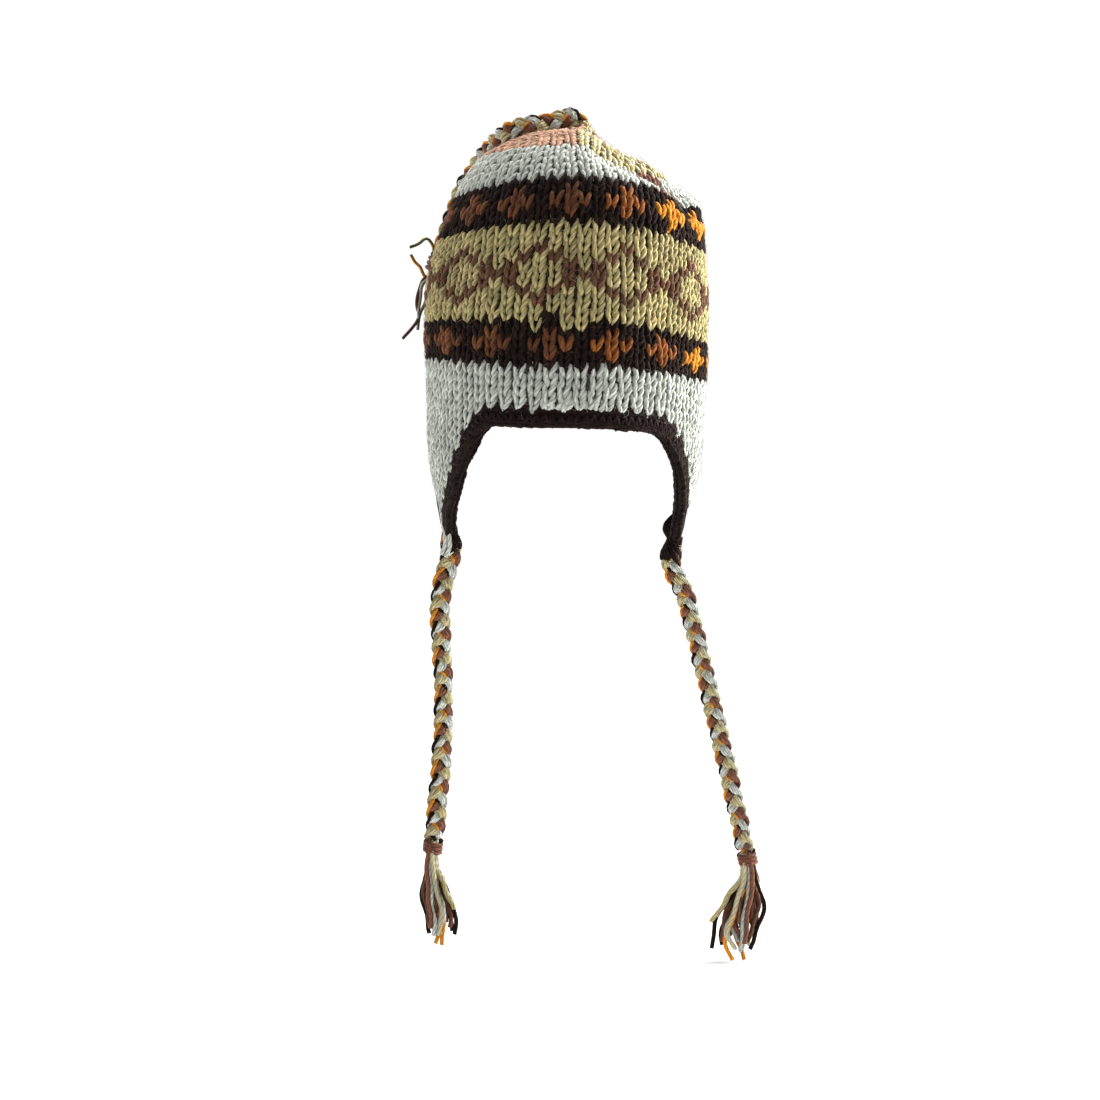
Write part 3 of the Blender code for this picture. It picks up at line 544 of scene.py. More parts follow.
# each flap's outline: the share of its half width from its middle, and how far down it reaches there
OUTLINES = (
    np.array(
        (
            (0.00, 1.000), (0.07, 0.992), (0.14, 0.955), (0.22, 0.890), (0.34, 0.790), (0.46, 0.665),
            (0.58, 0.500), (0.68, 0.350), (0.78, 0.205), (0.88, 0.090), (1.00, 0.000),
        )
    ),
    np.array(
        (
            (0.00, 1.000), (0.07, 0.992), (0.14, 0.950), (0.22, 0.885), (0.34, 0.775), (0.46, 0.620),
            (0.58, 0.425), (0.68, 0.280), (0.78, 0.150), (0.88, 0.060), (1.00, 0.000),
        )
    ),
)
LEAN = np.array(((0.00, 0.00), (0.30, 0.02), (0.55, 0.20), (0.80, 0.62), (1.00, 1.00), (1.45, 1.30)))
print("sections:", len(RINGS), "folds:", len(FOLDS))

# %% The crown without folds
def smooth_crown(angle, way):
    """Points of the crown before it is folded; way runs from 0 at the rim to 1 at the tip."""
    side, ahead = np.sin(angle), -np.cos(angle)
    back, left, right, front, out_left, out_right, out_back, out_front = np.moveaxis(along(RINGS, way), -1, 0)
    x = 0.5 * CROWN_HALF_WIDTH * ((out_right - out_left) + side * (out_right + out_left))
    y = 0.5 * CROWN_HALF_DEPTH * ((out_front - out_back) + ahead * (out_front + out_back))
    height = (
        back * np.maximum(-ahead, 0.0) ** 2
        + front * np.maximum(ahead, 0.0) ** 2
        + left * np.maximum(-side, 0.0) ** 2
        + right * np.maximum(side, 0.0) ** 2
    )
    body = np.stack([x, y, RIM_LEVEL + height * CROWN_HEIGHT], axis=-1)
    tilted = np.array([math.cos(TIP_TILT), 0.0, math.sin(TIP_TILT)])
    ring = TIP + TIP_RADIUS * (side[..., None] * tilted + ahead[..., None] * np.array([0.0, 1.0, 0.0]))
    gathered = np.clip((way - RINGS[-1, 0]) / (1.0 - RINGS[-1, 0]), 0.0, 1.0)[..., None]
    return body * (1.0 - gathered) + ring * gathered


def facing(point_at, angle, way):
    """The direction straight out of the crown."""
    around = point_at(angle + 0.01, way) - point_at(angle - 0.01, way)
    lower = np.clip(way - 0.002, 0.0, 0.996)
    up = point_at(angle, lower + 0.004) - point_at(angle, lower)
    return unit(np.cross(around, up))


print("left end of the rim:", smooth_crown(np.array([-0.5 * math.pi]), np.array([0.0])).round(4).tolist())

# %% The folds
def folded(angle, way):
    """Points of the crown with the folds pushed out or in."""
    point = smooth_crown(angle, way)
    shift = np.zeros(point.shape[:-1])
    size = np.array([CROWN_HALF_WIDTH, CROWN_HALF_DEPTH, CROWN_HEIGHT])
    for fold in FOLDS:
        start = np.array(fold[0:3]) * size + np.array([0.0, 0.0, RIM_LEVEL])
        end = np.array(fold[3:6]) * size + np.array([0.0, 0.0, RIM_LEVEL])
        line = end - start
        share = np.clip(((point - start) @ line) / (line @ line), 0.0, 1.0)
        away = np.linalg.norm(point - start - share[..., None] * line, axis=-1)
        shift = shift + fold[7] * WALL * np.exp(-((away / (fold[6] * WALL)) ** 2))
    calm = 1.0 - np.clip((way - 0.90) / 0.10, 0.0, 1.0) ** 2
    return point + facing(smooth_crown, angle, way) * (shift * calm)[..., None]


print("the tip is at", folded(np.array([0.0]), np.array([1.0])).round(4).tolist())

# %% The hanging part below the rim
def flap_share(angle, flap):
    """How far an angle lies from a flap's middle, as a share of the flap's half width."""
    return ((np.degrees(angle) - FLAPS[flap][0] + 180.0) % 360.0 - 180.0) / (0.5 * FLAP_SPAN)


def hem_drop(angle):
    """How far below the rim the white knitting reaches."""
    return sum(along(OUTLINES[f], np.abs(flap_share(angle, f)))[..., 0] * FLAPS[f][1] for f in (0, 1))


def hanging_face(angle, drop):
    """Points below the rim: straight down, and leaning inwards at the sides."""
    point = folded(angle, np.zeros_like(angle))
    side = np.sin(angle)
    lean = np.maximum(-side, 0.0) ** 2 * along(LEAN, drop / FLAPS[0][1])[..., 0] * FLAPS[0][2]
    lean = lean + np.maximum(side, 0.0) ** 2 * along(LEAN, drop / FLAPS[1][1])[..., 0] * FLAPS[1][2]
    return point + np.stack([-np.sign(side) * lean, 0.0 * lean, -drop], axis=-1)


def hanging_out(angle, drop):
    """The direction straight out of the hanging part."""
    around = hanging_face(angle + 0.01, drop) - hanging_face(angle - 0.01, drop)
    up = hanging_face(angle, drop) - hanging_face(angle, drop + 0.001)
    at_rim = facing(folded, angle, np.zeros_like(angle))
    below = np.clip(drop / FLAPS[0][1], 0.0, 1.0)[..., None]
    return unit(at_rim * (1.0 - below) + unit(np.cross(around, up)) * below)


print("the flaps reach down", [round(float(hem_drop(np.radians(np.array(f[0])))), 4) for f in FLAPS], "m")

# %% Any point of the knitting
def wool_face(angle, row):
    """Point and outward direction of the outer face at an angle and a row; rows below 0 hang from the rim."""
    way = np.clip(row / ROWS, 0.0, 1.0)
    drop = np.maximum(-row, 0.0) * ROW
    above = row >= 0.0
    point = np.where(above[..., None], folded(angle, way), hanging_face(angle, drop))
    out = np.where(above[..., None], facing(folded, angle, way), hanging_out(angle, drop))
    return point, out


probe, _ = wool_face(np.array([0.0]), np.array([10.0]))
print("back of the hat at row 10:", probe.round(4).tolist())

# %% [markdown]
# Stocking stitch is one bent line repeated. A loop comes up from behind, shows two legs that make the V, and
# goes over behind the feet of the next row's loop. A bump map of V shapes would look flat at the edges of the
# hat, so the loops are real. Written as a curve: across, a straight run with a wave of double speed on it; up, a
# cosine; through the cloth, another double-speed cosine that puts the legs outside and both bends inside.
# Neighbours in a row share their ends, so a row reads as one yarn.
# %% The line of one loop
STITCHES = 60
STITCH_ANGLE = 2.0 * math.pi / STITCHES
LOOP_POINTS = 17
LOOP_SWAY = 0.20
LOOP_LEAN = 0.08
LOOP_DEPTH = 0.00158
YARN_RADIUS = 0.00153
FIRST_ROW_AT = 0.50
loop_turn = np.linspace(-math.pi, math.pi, LOOP_POINTS)
loop_across = loop_turn / (2.0 * math.pi) + LOOP_SWAY * np.sin(2.0 * loop_turn)
loop_up = np.cos(loop_turn)
loop_through = -np.cos(2.0 * loop_turn)
print("stitches round:", STITCHES, "points in a loop:", LOOP_POINTS)

# %% Many loops at once
UPRIGHT_AT = 0.09  # just right of the middle of the back, in radians, the stitches stand upright
UPRIGHT_HALF = 0.08
LAST_ROW = 0.7  # stitches that sit lower than this can be the last of their column
WHOLE_STITCH = 0.93


def stitch_bundle(angle, row, width, height, colour, radius=YARN_RADIUS, proud=0.0):
    """Loops of one colour. angle, row, width (radians) and height (rows) are arrays with one value a stitch. A
    stitch lower than a full row is the last of its column: its feet close to a point under the edging."""
    n = len(angle)
    jitter = rng.normal(0.0, 1.0, (5, n, 1))
    size = 1.0 + 0.08 * jitter[0]
    lean = LOOP_LEAN * (1.0 - 0.8 * np.exp(-(((angle[:, None] - UPRIGHT_AT) / UPRIGHT_HALF) ** 2)))
    tilt = (lean + 0.04 * jitter[3]) * loop_up
    last = (height < WHOLE_STITCH)[:, None] & (row < LAST_ROW)[:, None]
    closed = 1.0 - last * (0.5 - 0.5 * np.cos(loop_turn)) ** 1.2
    sway = loop_across * closed * (1.0 + 0.06 * jitter[2]) + 0.05 * jitter[1] + tilt
    across = angle[:, None] + sway * width[:, None]
    up = row[:, None] + loop_up * height[:, None] * size + 0.07 * jitter[2]
    up = up + 0.10 * jitter[3] * np.sin(loop_turn)
    up = np.clip(up, 0.03 - hem_drop(across) / ROW, ROWS - 0.02)
    point, out = wool_face(across, up)
    depth = 0.5 * WALL - proud - loop_through * (LOOP_DEPTH + 0.00012 * jitter[4])
    lines = point - out * depth[..., None]
    thick = radius * (1.0 + 0.08 * rng.normal(0.0, 1.0, (n, 1))) * (1.0 + 0.05 * np.cos(loop_turn * 3.0))
    return yarns(lines, thick, out, 7, colour)


print("yarn", 2e3 * YARN_RADIUS, "mm thick in a wall of", WALL * 1e3, "mm")

# %% [markdown]
# The pattern is a chart, as a knitter would have it: rows of one wool, with a second wool brought in for the
# stars and the lattice of diamonds. The colours could be painted on the finished cloth, but a knitter changes
# colour only from stitch to stitch, and so does the chart. A star takes four stitches and three rows; a diamond
# takes six stitches and seven rows. Sixty stitches hold fifteen stars and ten diamonds, so both patterns close
# without a remainder.
# %% The chart
STAR = ("..X.", ".XXX", "..X.")
DIAMOND = ("..X...", ".X.X..", "X...X.", "X...XX", "X...X.", ".X.X..", "..X...")


def colour_of(row, i, angle):
    """The wool of stitch i (0 at the back) of a row."""
    if row == LATTICE_ROW - 1 and i in (-2, 0, 1):  # the knitter's slips at the back
        return "khaki"
    if row == LATTICE_ROW and i == -1:
        return "dark_brown"
    above = row - UPPER_WHITE_ROW
    if row < TOP_ROW and above >= 0 and 44.0 < math.degrees(angle) < 70.0 - 2.0 * above:
        return "red_brown"  # a patch on the right shoulder
    if row < LOWER_STARS_ROW or UPPER_WHITE_ROW <= row < TOP_ROW:
        return "off_white"
    if row < LATTICE_ROW or UPPER_STARS_ROW <= row < UPPER_WHITE_ROW:
        lower = row < LATTICE_ROW
        line = row - 1 - (LOWER_STARS_ROW if lower else UPPER_STARS_ROW)
        column = (i + (3 if lower else 2)) % 4
        if 0 <= line < 3 and STAR[line][column] == "X":
            return "star"
        return "dark_brown"
    if row < UPPER_STARS_ROW:
        line = row - 2 - LATTICE_ROW
        column = (i + 4) % 6
        if 0 <= line < 7 and DIAMOND[line][column] == "X":
            return "lattice_brown"
        return "khaki"
    degrees = (math.degrees(angle) + 180.0) % 360.0 - 180.0
    if 5.0 < degrees < 125.0:
        return "cream" if (i + row) % 3 else "khaki"
    return "rust_brown"


print("the rows at the back:", [colour_of(row, 0, 0.0) for row in (0, 5, 10, 21, 26, 31)])

# %% Where columns stand, and the stars' wool in shaded and lit copies
def column_angle(row, step):
    """Where a column stands. Columns are a little askew, and wider at the back than at the front."""
    level = math.radians(float(np.interp(row, (7.0, 15.0, 23.0), (-0.75, 0.43, -2.0)))) + step
    return level + (0.03 - 0.035 * math.exp(-(((row - 15.5) / 4.0) ** 2))) * math.sin(level)


def star_wool_lit_from_right(degrees, row):
    """The stars' wool in shaded and lit copies, as painted light: dull at the left, bright orange towards the right.
    """
    if 36.0 < degrees < 130.0:
        return "orange" if degrees > (55.0 if row < 15 else 40.0) else "orange_rust"
    if 5.0 < degrees or degrees < -150.0:
        return "orange_rust"
    return "rust"


print("stars at the left, back and right:", [star_wool_lit_from_right(degrees, 7) for degrees in (-60.0, 0.0, 60.0)])

# %% One band of the crown
SECOND_WOOLS = ("lattice_brown", "rust", "orange_rust", "orange")  # worked a little thicker and prouder
TOP_STITCH = 0.0086  # width of a stitch where the top is gathered
RIM_STITCH = (0.62, 0.85)  # where a stitch of the rim's last row sits, and how tall it is


def collect(store, colour, values):
    """Keep the angle, row, width and height of a stitch under its colour."""
    store.setdefault(colour, []).append(values)


def to_bundles(store):
    """The collected stitches as one bundle of loops a colour."""
    bundles = []
    for colour in sorted(store):
        angle, row, width, height = (np.array(v) for v in zip(*store[colour]))
        second = colour in SECOND_WOOLS
        radius = YARN_RADIUS * (1.0 + 0.1 * second)
        bundles.append(stitch_bundle(angle, row, width, height, colour, radius, 0.0003 * second))
    return bundles


def crown_piece(name, first, last, slot, extra=()):
    """The rows of one band of the crown, from the first up to the one before the last."""
    store = {}
    for row in range(first, last):
        if row < TOP_ROW:
            count = STITCHES
        else:
            edge, _ = wool_face(np.linspace(0, 2 * math.pi, 60), np.full(60, row + FIRST_ROW_AT))
            count = max(6, int(round(distance_along(edge)[-1] / TOP_STITCH)))
        for j in range(count):
            i = j - count // 2
            angle = column_angle(row, i * 2.0 * math.pi / count)
            colour = colour_of(row, i, angle)
            if colour == "star":
                colour = star_wool_lit_from_right(math.degrees(angle), row)
            ends_here = row == 0 and float(hem_drop(np.array(angle))) < 0.5 * ROW
            at, height = RIM_STITCH if ends_here else (row + FIRST_ROW_AT, 1.0)
            collect(store, colour, (angle, at, 2.0 * math.pi / count, height))
    yarn_piece(name, to_bundles(store) + list(extra), slot, "crown")


print("a stitch of a band takes", round(math.degrees(STITCH_ANGLE), 1), "degrees")

# %% The six bands
untidy = np.radians(np.array([-7.0, -3.5, 0.5, 9.0, 13.0]))  # thick stitches where the round was closed
untidy_rows = np.array([0.95, 0.75, 0.80, 1.00, 0.80])
thick_stitches = stitch_bundle(untidy, untidy_rows, np.full(5, STITCH_ANGLE), np.full(5, 0.72), "off_white", 0.0019)
crown_piece("rim_band", 0, LOWER_STARS_ROW, "band_wool", [thick_stitches])
crown_piece("lower_star_band", LOWER_STARS_ROW, LATTICE_ROW, "dark_wool")
crown_piece("lattice_band", LATTICE_ROW, UPPER_STARS_ROW, "band_wool")
crown_piece("upper_star_band", UPPER_STARS_ROW, UPPER_WHITE_ROW, "dark_wool")
crown_piece("upper_white_band", UPPER_WHITE_ROW, TOP_ROW, "white_wool")
crown_piece("gathered_top", TOP_ROW, ROWS, "band_wool")

# %% [markdown]
# An ear flap grows from the rim's own stitches. It could be cut from a larger sheet of stitches, but the cut
# would slice loops in two. So each column is worked only as far down as the flap's outline lets it, and its rows
# are stretched a little so that the last one ends on the outline. An end of white wool lies over the edging at
# the left tie, as a yarn of its own.
# %% An end of wool at the left tie
LOOSE_END = (
    (-0.0752, -0.0212, -0.0490), (-0.0742, -0.0222, -0.0560), (-0.0733, -0.0224, -0.0630),
    (-0.0722, -0.0222, -0.0700), (-0.0722, -0.0212, -0.0760), (-0.0745, -0.0195, -0.0815),
)


def single_yarns(routes, radius, colour, out=(0.0, -1.0, 0.0)):
    """Yarns that each follow a route of their own."""
    return yarns([resample(route, 24)[0] for route in routes], radius, out, 7, colour)


print("the loose end is", round(resample(LOOSE_END, 24)[1], 4), "m long")

# %% Ear flaps
for flap, name in ((0, "left"), (1, "right")):
    store = {}
    for i in range(-STITCHES // 2, STITCHES // 2):
        angle = column_angle(0, i * STITCH_ANGLE)
        if abs(flap_share(np.array(angle), flap)) >= 1.0:
            continue
        drop = float(hem_drop(np.array(angle)))
        rows = int(round(drop / ROW))
        if rows < 1:
            continue
        height = drop / (rows * ROW)
        for k in range(rows):
            row = FIRST_ROW_AT - (k + 1.0) * height
            ends_here = k == rows - 1
            tall = min(0.85 * height, 0.92) if ends_here else max(height, 0.94)
            collect(store, "off_white", (angle, row + 0.12 * ends_here, STITCH_ANGLE, tall))
    bundles = to_bundles(store)
    if flap == 0:
        beside = np.array(LOOSE_END) + (-0.0026, 0.0010, 0.0015)
        bundles.append(single_yarns((LOOSE_END, beside), 0.00150, "off_white"))
    yarn_piece("flap_" + name + "_stitches", bundles, "white_wool", "ear_flap_" + name)

# %% [markdown]
# Behind the legs run the backs of the stitches and, in the patterned rows, the wool that waits for its turn.
# Together they close the cloth, so no daylight comes between the loops. More loops could be laid there, but
# nobody would see them. One thin sheet of wool, in the middle of the wall, stands for them. Behind the light bands
# its wool is painted far darker than the yarn in front, as painted shade in the gaps between the loops.
# %% A sheet inside the wall
SHEET_DEPTHS = (0.0024, 0.0038)  # its two faces, measured in from the outer face


def sheet_piece(name, columns, rows_of, colour_of_cell, node_name, closed):
    """A thin closed sheet of wool inside the wall. columns are angles; rows_of(angle) gives its rows."""
    grid_rows = np.stack([rows_of(a) for a in columns], axis=0)
    angle = np.repeat(np.asarray(columns)[:, None], grid_rows.shape[1], axis=1)
    point, out = wool_face(angle, grid_rows)
    faces, mats, wools = [], [], []
    n, m = grid_rows.shape
    layers = np.stack([point - out * depth for depth in SHEET_DEPTHS], axis=0)

    def number(layer, c, r):
        return layer * n * m + (c % n) * m + r

    last = n if closed else n - 1
    for c in range(last):
        for r in range(m - 1):
            wool_name = colour_of_cell(grid_rows[c, r], angle[c, r])
            if wool_name not in wools:
                wools.append(wool_name)
            for layer in (0, 1):
                quad = [number(layer, *cell) for cell in ((c, r), (c + 1, r), (c + 1, r + 1), (c, r + 1))]
                faces.append(quad if layer == 0 else quad[::-1])
                mats.append(wools.index(wool_name))
    for c in range(last):
        for r in (0, m - 1):
            faces.append([number(0, c, r), number(1, c, r), number(1, c + 1, r), number(0, c + 1, r)])
    if not closed:
        for c in (0, n - 1):
            for r in range(m - 1):
                faces.append([number(0, c, r), number(0, c, r + 1), number(1, c, r + 1), number(1, c, r)])
    mats += [0] * (len(faces) - len(mats))
    mesh = bpy.data.meshes.new(name)
    mesh.from_pydata(layers.reshape(-1, 3).tolist(), [], faces)
    corner = np.zeros(len(mesh.loops), dtype=np.int32)
    mesh.loops.foreach_get("vertex_index", corner)
    flat_uv = np.stack([np.tile((angle * 9.0).reshape(-1), 2), np.tile((grid_rows * 0.5).reshape(-1), 2)], axis=-1)
    layer_uv = mesh.uv_layers.new(name="along_yarn")
    layer_uv.data.foreach_set("uv", flat_uv[corner].astype(np.float32).reshape(-1))
    mesh.update()
    finish_piece(name, mesh, wools, mats, [node_name])


print("the sheet is", round(1e3 * (SHEET_DEPTHS[1] - SHEET_DEPTHS[0]), 2), "mm thick")

# %% Backs of the crown and the flaps
CLOSED_UNDER_EDGING = 0.0015  # the lowest part of a flap's sheet is dark, as the edging before it
CROWN_COLUMNS, CROWN_LEVELS = 150, 84
FLAP_COLUMNS, FLAP_LEVELS = 40, 13
FLAP_SHEET_SHARE = 0.93  # the sheet of a flap ends a little before the flap's outline does


def back_wool(row, angle):
    """The wool behind a band: the band's wool darkened as painted shade, or the dark bands' own brown."""
    if row < LOWER_STARS_ROW or UPPER_WHITE_ROW <= row < TOP_ROW:
        return "off_white_back"
    if row < LATTICE_ROW or UPPER_STARS_ROW <= row < UPPER_WHITE_ROW:
        return "dark_brown"
    if row < UPPER_STARS_ROW:
        return "khaki_back"
    degrees = (math.degrees(angle) + 180.0) % 360.0 - 180.0
    return "khaki_back" if 5.0 < degrees < 125.0 else "rust_back"


def flap_back_wool(row, angle):
    below_white = row * ROW < CLOSED_UNDER_EDGING - float(hem_drop(np.array(angle)))
    # painted shade: above the edging a flap's back is the darkened copy of the white wool
    return "dark_brown" if below_white else "off_white_back"


crown_rows = np.linspace(0.75, ROWS - 0.3, CROWN_LEVELS)
sheet_piece(
    "crown_backs",
    np.linspace(0.0, 2.0 * math.pi, CROWN_COLUMNS, endpoint=False),
    lambda a: crown_rows,
    back_wool,
    "crown",
    True,
)
for flap, name in ((0, "left"), (1, "right")):
    middle = math.radians(FLAPS[flap][0])
    half = math.radians(0.5 * FLAP_SPAN) * FLAP_SHEET_SHARE
    sheet_piece(
        "flap_" + name + "_backs",
        np.linspace(middle - half, middle + half, FLAP_COLUMNS),
        lambda a: np.linspace(-float(hem_drop(np.array(a))) / ROW - 0.8, 0.2, FLAP_LEVELS),
        flap_back_wool,
        "ear_flap_" + name,
        False,
    )

# %% [markdown]
# The edge is crocheted in dark brown round the whole hem: short posts that grip the last stitches, and a chain
# of loops along the outside. One tube along the hem would be smooth where the real edge is bumpy, so the posts
# are pairs of slanted strands over both faces, and the chain is the knitting loop again, turned to run along the
# edge. Soft cores fill the middle.
# %% Where the edging runs
def hem_samples(count):
    """Angles at even steps along the hem."""
    angle = np.linspace(-math.pi, math.pi, 1441)
    line = hanging_face(angle, hem_drop(angle))
    length = distance_along(line)
    return np.interp(np.linspace(0.0, length[-1], count, endpoint=False), length, angle)


def edging_height(angle):
    """Height of the edging: taller at the lower ends of the flaps."""
    height = np.full_like(angle, EDGING_HEIGHT)
    for f in (0, 1):
        height = height + (FLAPS[f][3] - EDGING_HEIGHT) * np.exp(-((flap_share(angle, f) / 0.13) ** 2))
    return height


def edging_frame(angle):
    """The middle of the edging's upper end, and the directions out and down from it."""
    drop = hem_drop(angle)
    out = hanging_out(angle, drop)
    middle = hanging_face(angle, drop) - out * 0.5 * WALL
    before, after = angle - 0.005, angle + 0.005
    ahead = hanging_face(after, hem_drop(after)) - hanging_face(before, hem_drop(before))
    return middle, out, unit(np.cross(ahead, out))


HEM_FINE = 696
hem_fine = hem_samples(HEM_FINE)
hem_middle, hem_out, hem_down = edging_frame(hem_fine)
for _ in range(2):
    hem_down = unit(np.roll(hem_down, 3, axis=0) + 2.0 * hem_down + np.roll(hem_down, -3, axis=0))
hem_down = unit(hem_down - hem_out * np.sum(hem_down * hem_out, axis=-1, keepdims=True))
hem_height = edging_height(hem_fine)
print("the edging is", hem_height.min().round(4), "to", hem_height.max().round(4), "m high")

# %% Any point of the edging
def on_edging(place, through, down):
    """A point of the edging: place is a share of the hem, through from -1 inside to 1 outside, down a share."""
    spot = (place % 1.0) * HEM_FINE
    low = np.floor(spot).astype(int) % HEM_FINE
    high = (low + 1) % HEM_FINE
    s = (spot - np.floor(spot))[..., None]

    def read(a):
        return a[low] * (1.0 - s) + a[high] * s

    height = (read(hem_height[:, None]))[..., 0]
    out = unit(read(hem_out))
    point = read(hem_middle) + out * (through * 0.5 * EDGING_THICKNESS)[..., None]
    return point + read(hem_down) * (0.0003 + down * height)[..., None], out


start = np.array([0.5])
print("back of the edging:", on_edging(start, 0.0 * start, start)[0].round(4).tolist())

# %% Posts over both faces
EDGE_STITCHES = 138
POST_RADIUS = 0.00145
CHAIN_RADIUS = 0.00138
edge_place = (np.arange(EDGE_STITCHES) + 0.5) / EDGE_STITCHES
edge_bundles = []


def add_edge_yarn(place, through, down, face, radius):
    """One yarn a stitch of the edging, on its outer (1.0) or inner (-1.0) face."""
    lines, out = on_edging(place, through * np.ones_like(place), down * np.ones_like(place))
    edge_bundles.append(yarns(lines, radius, out * face, 5, "dark_brown"))


for leg in (0, 1):
    for face in (1.0, -1.0):
        t = np.linspace(0.0, 1.0, 6)
        slant = (t - 0.5) * 0.62 * (1 if leg == 0 else -1) + (0.24 if leg == 0 else -0.24)
        slant = slant + 0.07 * rng.normal(0.0, 1.0, (EDGE_STITCHES, 1))
        place = edge_place[:, None] + slant / EDGE_STITCHES
        through = face * (0.52 + 0.16 * np.sin(math.pi * t))
        down = 0.13 + 0.62 * t + 0.03 * rng.normal(0.0, 1.0, (EDGE_STITCHES, 1))
        add_edge_yarn(place, through, down, face, POST_RADIUS)
print("posts:", len(edge_bundles) * EDGE_STITCHES)

# %% The chain along the outside
chain_turn = np.linspace(-math.pi, math.pi, 12)
chain_ahead = 0.95 * np.cos(chain_turn)
chain_down = 0.40 * (chain_turn / (2.0 * math.pi) + LOOP_SWAY * np.sin(2.0 * chain_turn))
for face in (1.0, -1.0):
    uneven = rng.normal(0.0, 1.0, (2, EDGE_STITCHES, 1))
    place = edge_place[:, None] + (chain_ahead + 0.10 * uneven[0]) / EDGE_STITCHES
    down = 0.73 + chain_down + 0.05 * uneven[1]
    through = face * (0.52 - 0.14 * np.cos(2.0 * chain_turn))
    add_edge_yarn(place, through, down, face, CHAIN_RADIUS)
print("chain loops:", 2 * EDGE_STITCHES)

# %% Cores, knob and the whole edging
CORES = (  # place through the edging, place down it, radius
    (0.12, -0.44, 0.0017), (0.14, -0.16, 0.0022), (0.0, 0.06, 0.0022),
    (0.0, 0.24, 0.0024), (0.0, 0.60, 0.0025), (0.0, 0.86, 0.0014),
)
core_place = np.linspace(0.0, 1.0, 300)[None, :]
for through, down, radius in CORES:
    lines, out = on_edging(core_place, np.full_like(core_place, through), np.full_like(core_place, down))
    taller = np.interp(core_place * HEM_FINE, np.arange(HEM_FINE), hem_height) / EDGING_HEIGHT
    edge_bundles.append(yarns(lines, radius * np.clip(taller, 1.0, 1.5), out, 8, "dark_brown"))
KNOB = (  # the edging's fastened-off end, a small knob over the right tie
    (0.0680, -0.0025, -0.0560), (0.0648, -0.0042, -0.0588), (0.0622, -0.0048, -0.0622),
    (0.0618, -0.0044, -0.0652), (0.0635, -0.0038, -0.0685), (0.0662, -0.0025, -0.0725),
)
inner_knob = np.array(KNOB) + (0.0022, -0.0006, -0.0004)
edge_bundles.append(single_yarns((KNOB, inner_knob), 0.00165, "dark_brown"))
yarn_piece("crocheted_edge", edge_bundles, "dark_wool", "edging")

# %% [markdown]
# Hand-spun wool is hairy. A particle system could grow the fibres, but plain thin tubes stay with their piece
# wherever it goes. A few thousand stand off the stitches, most of them lying close to the cloth; they soften the
# outline and blur the edges of the dark stars.
# %% Loose fibres
def fuzz_piece(name, colour, rows, count, length, slot, *node_names):
    """Fibres over some rows of the crown, or over both flaps when the rows lie below the rim."""
    angle = rng.random(count) * 2.0 * math.pi
    row = rows[0] + rng.random(count) * (rows[1] - rows[0])
    if rows[1] <= 0.0:
        angle = np.radians(np.where(rng.random(count) < 0.5, FLAPS[0][0], FLAPS[1][0]) + rng.normal(0.0, 18.0, count))
        row = -rng.random(count) * (hem_drop(angle) / ROW)
    point, out = wool_face(angle, row)
    yarn_piece(name, hair_bundles(point - out * 0.0006, out, colour, length), slot, *node_names)


fuzz_piece("fuzz_rim", "off_white", (0.0, 5.2), 700, 0.0045, "band_wool", "crown")
fuzz_piece("fuzz_lower_stars", "lattice_brown", (4.6, 10.2), 900, 0.0050, "dark_wool", "crown")
fuzz_piece("fuzz_lattice", "cream", (10.0, 21.0), 1300, 0.0045, "band_wool", "crown")
fuzz_piece("fuzz_upper_stars", "lattice_brown", (20.8, 26.2), 900, 0.0050, "dark_wool", "crown")
fuzz_piece("fuzz_upper_white", "off_white", (26.0, 31.0), 600, 0.0045, "white_wool", "crown")
fuzz_piece("fuzz_top", "rust_brown", (31.0, 41.0), 900, 0.0060, "band_wool", "crown")
fuzz_piece("fuzz_flaps", "off_white", (-12.0, 0.0), 500, 0.0045, "white_wool", "ear_flap_left", "ear_flap_right")

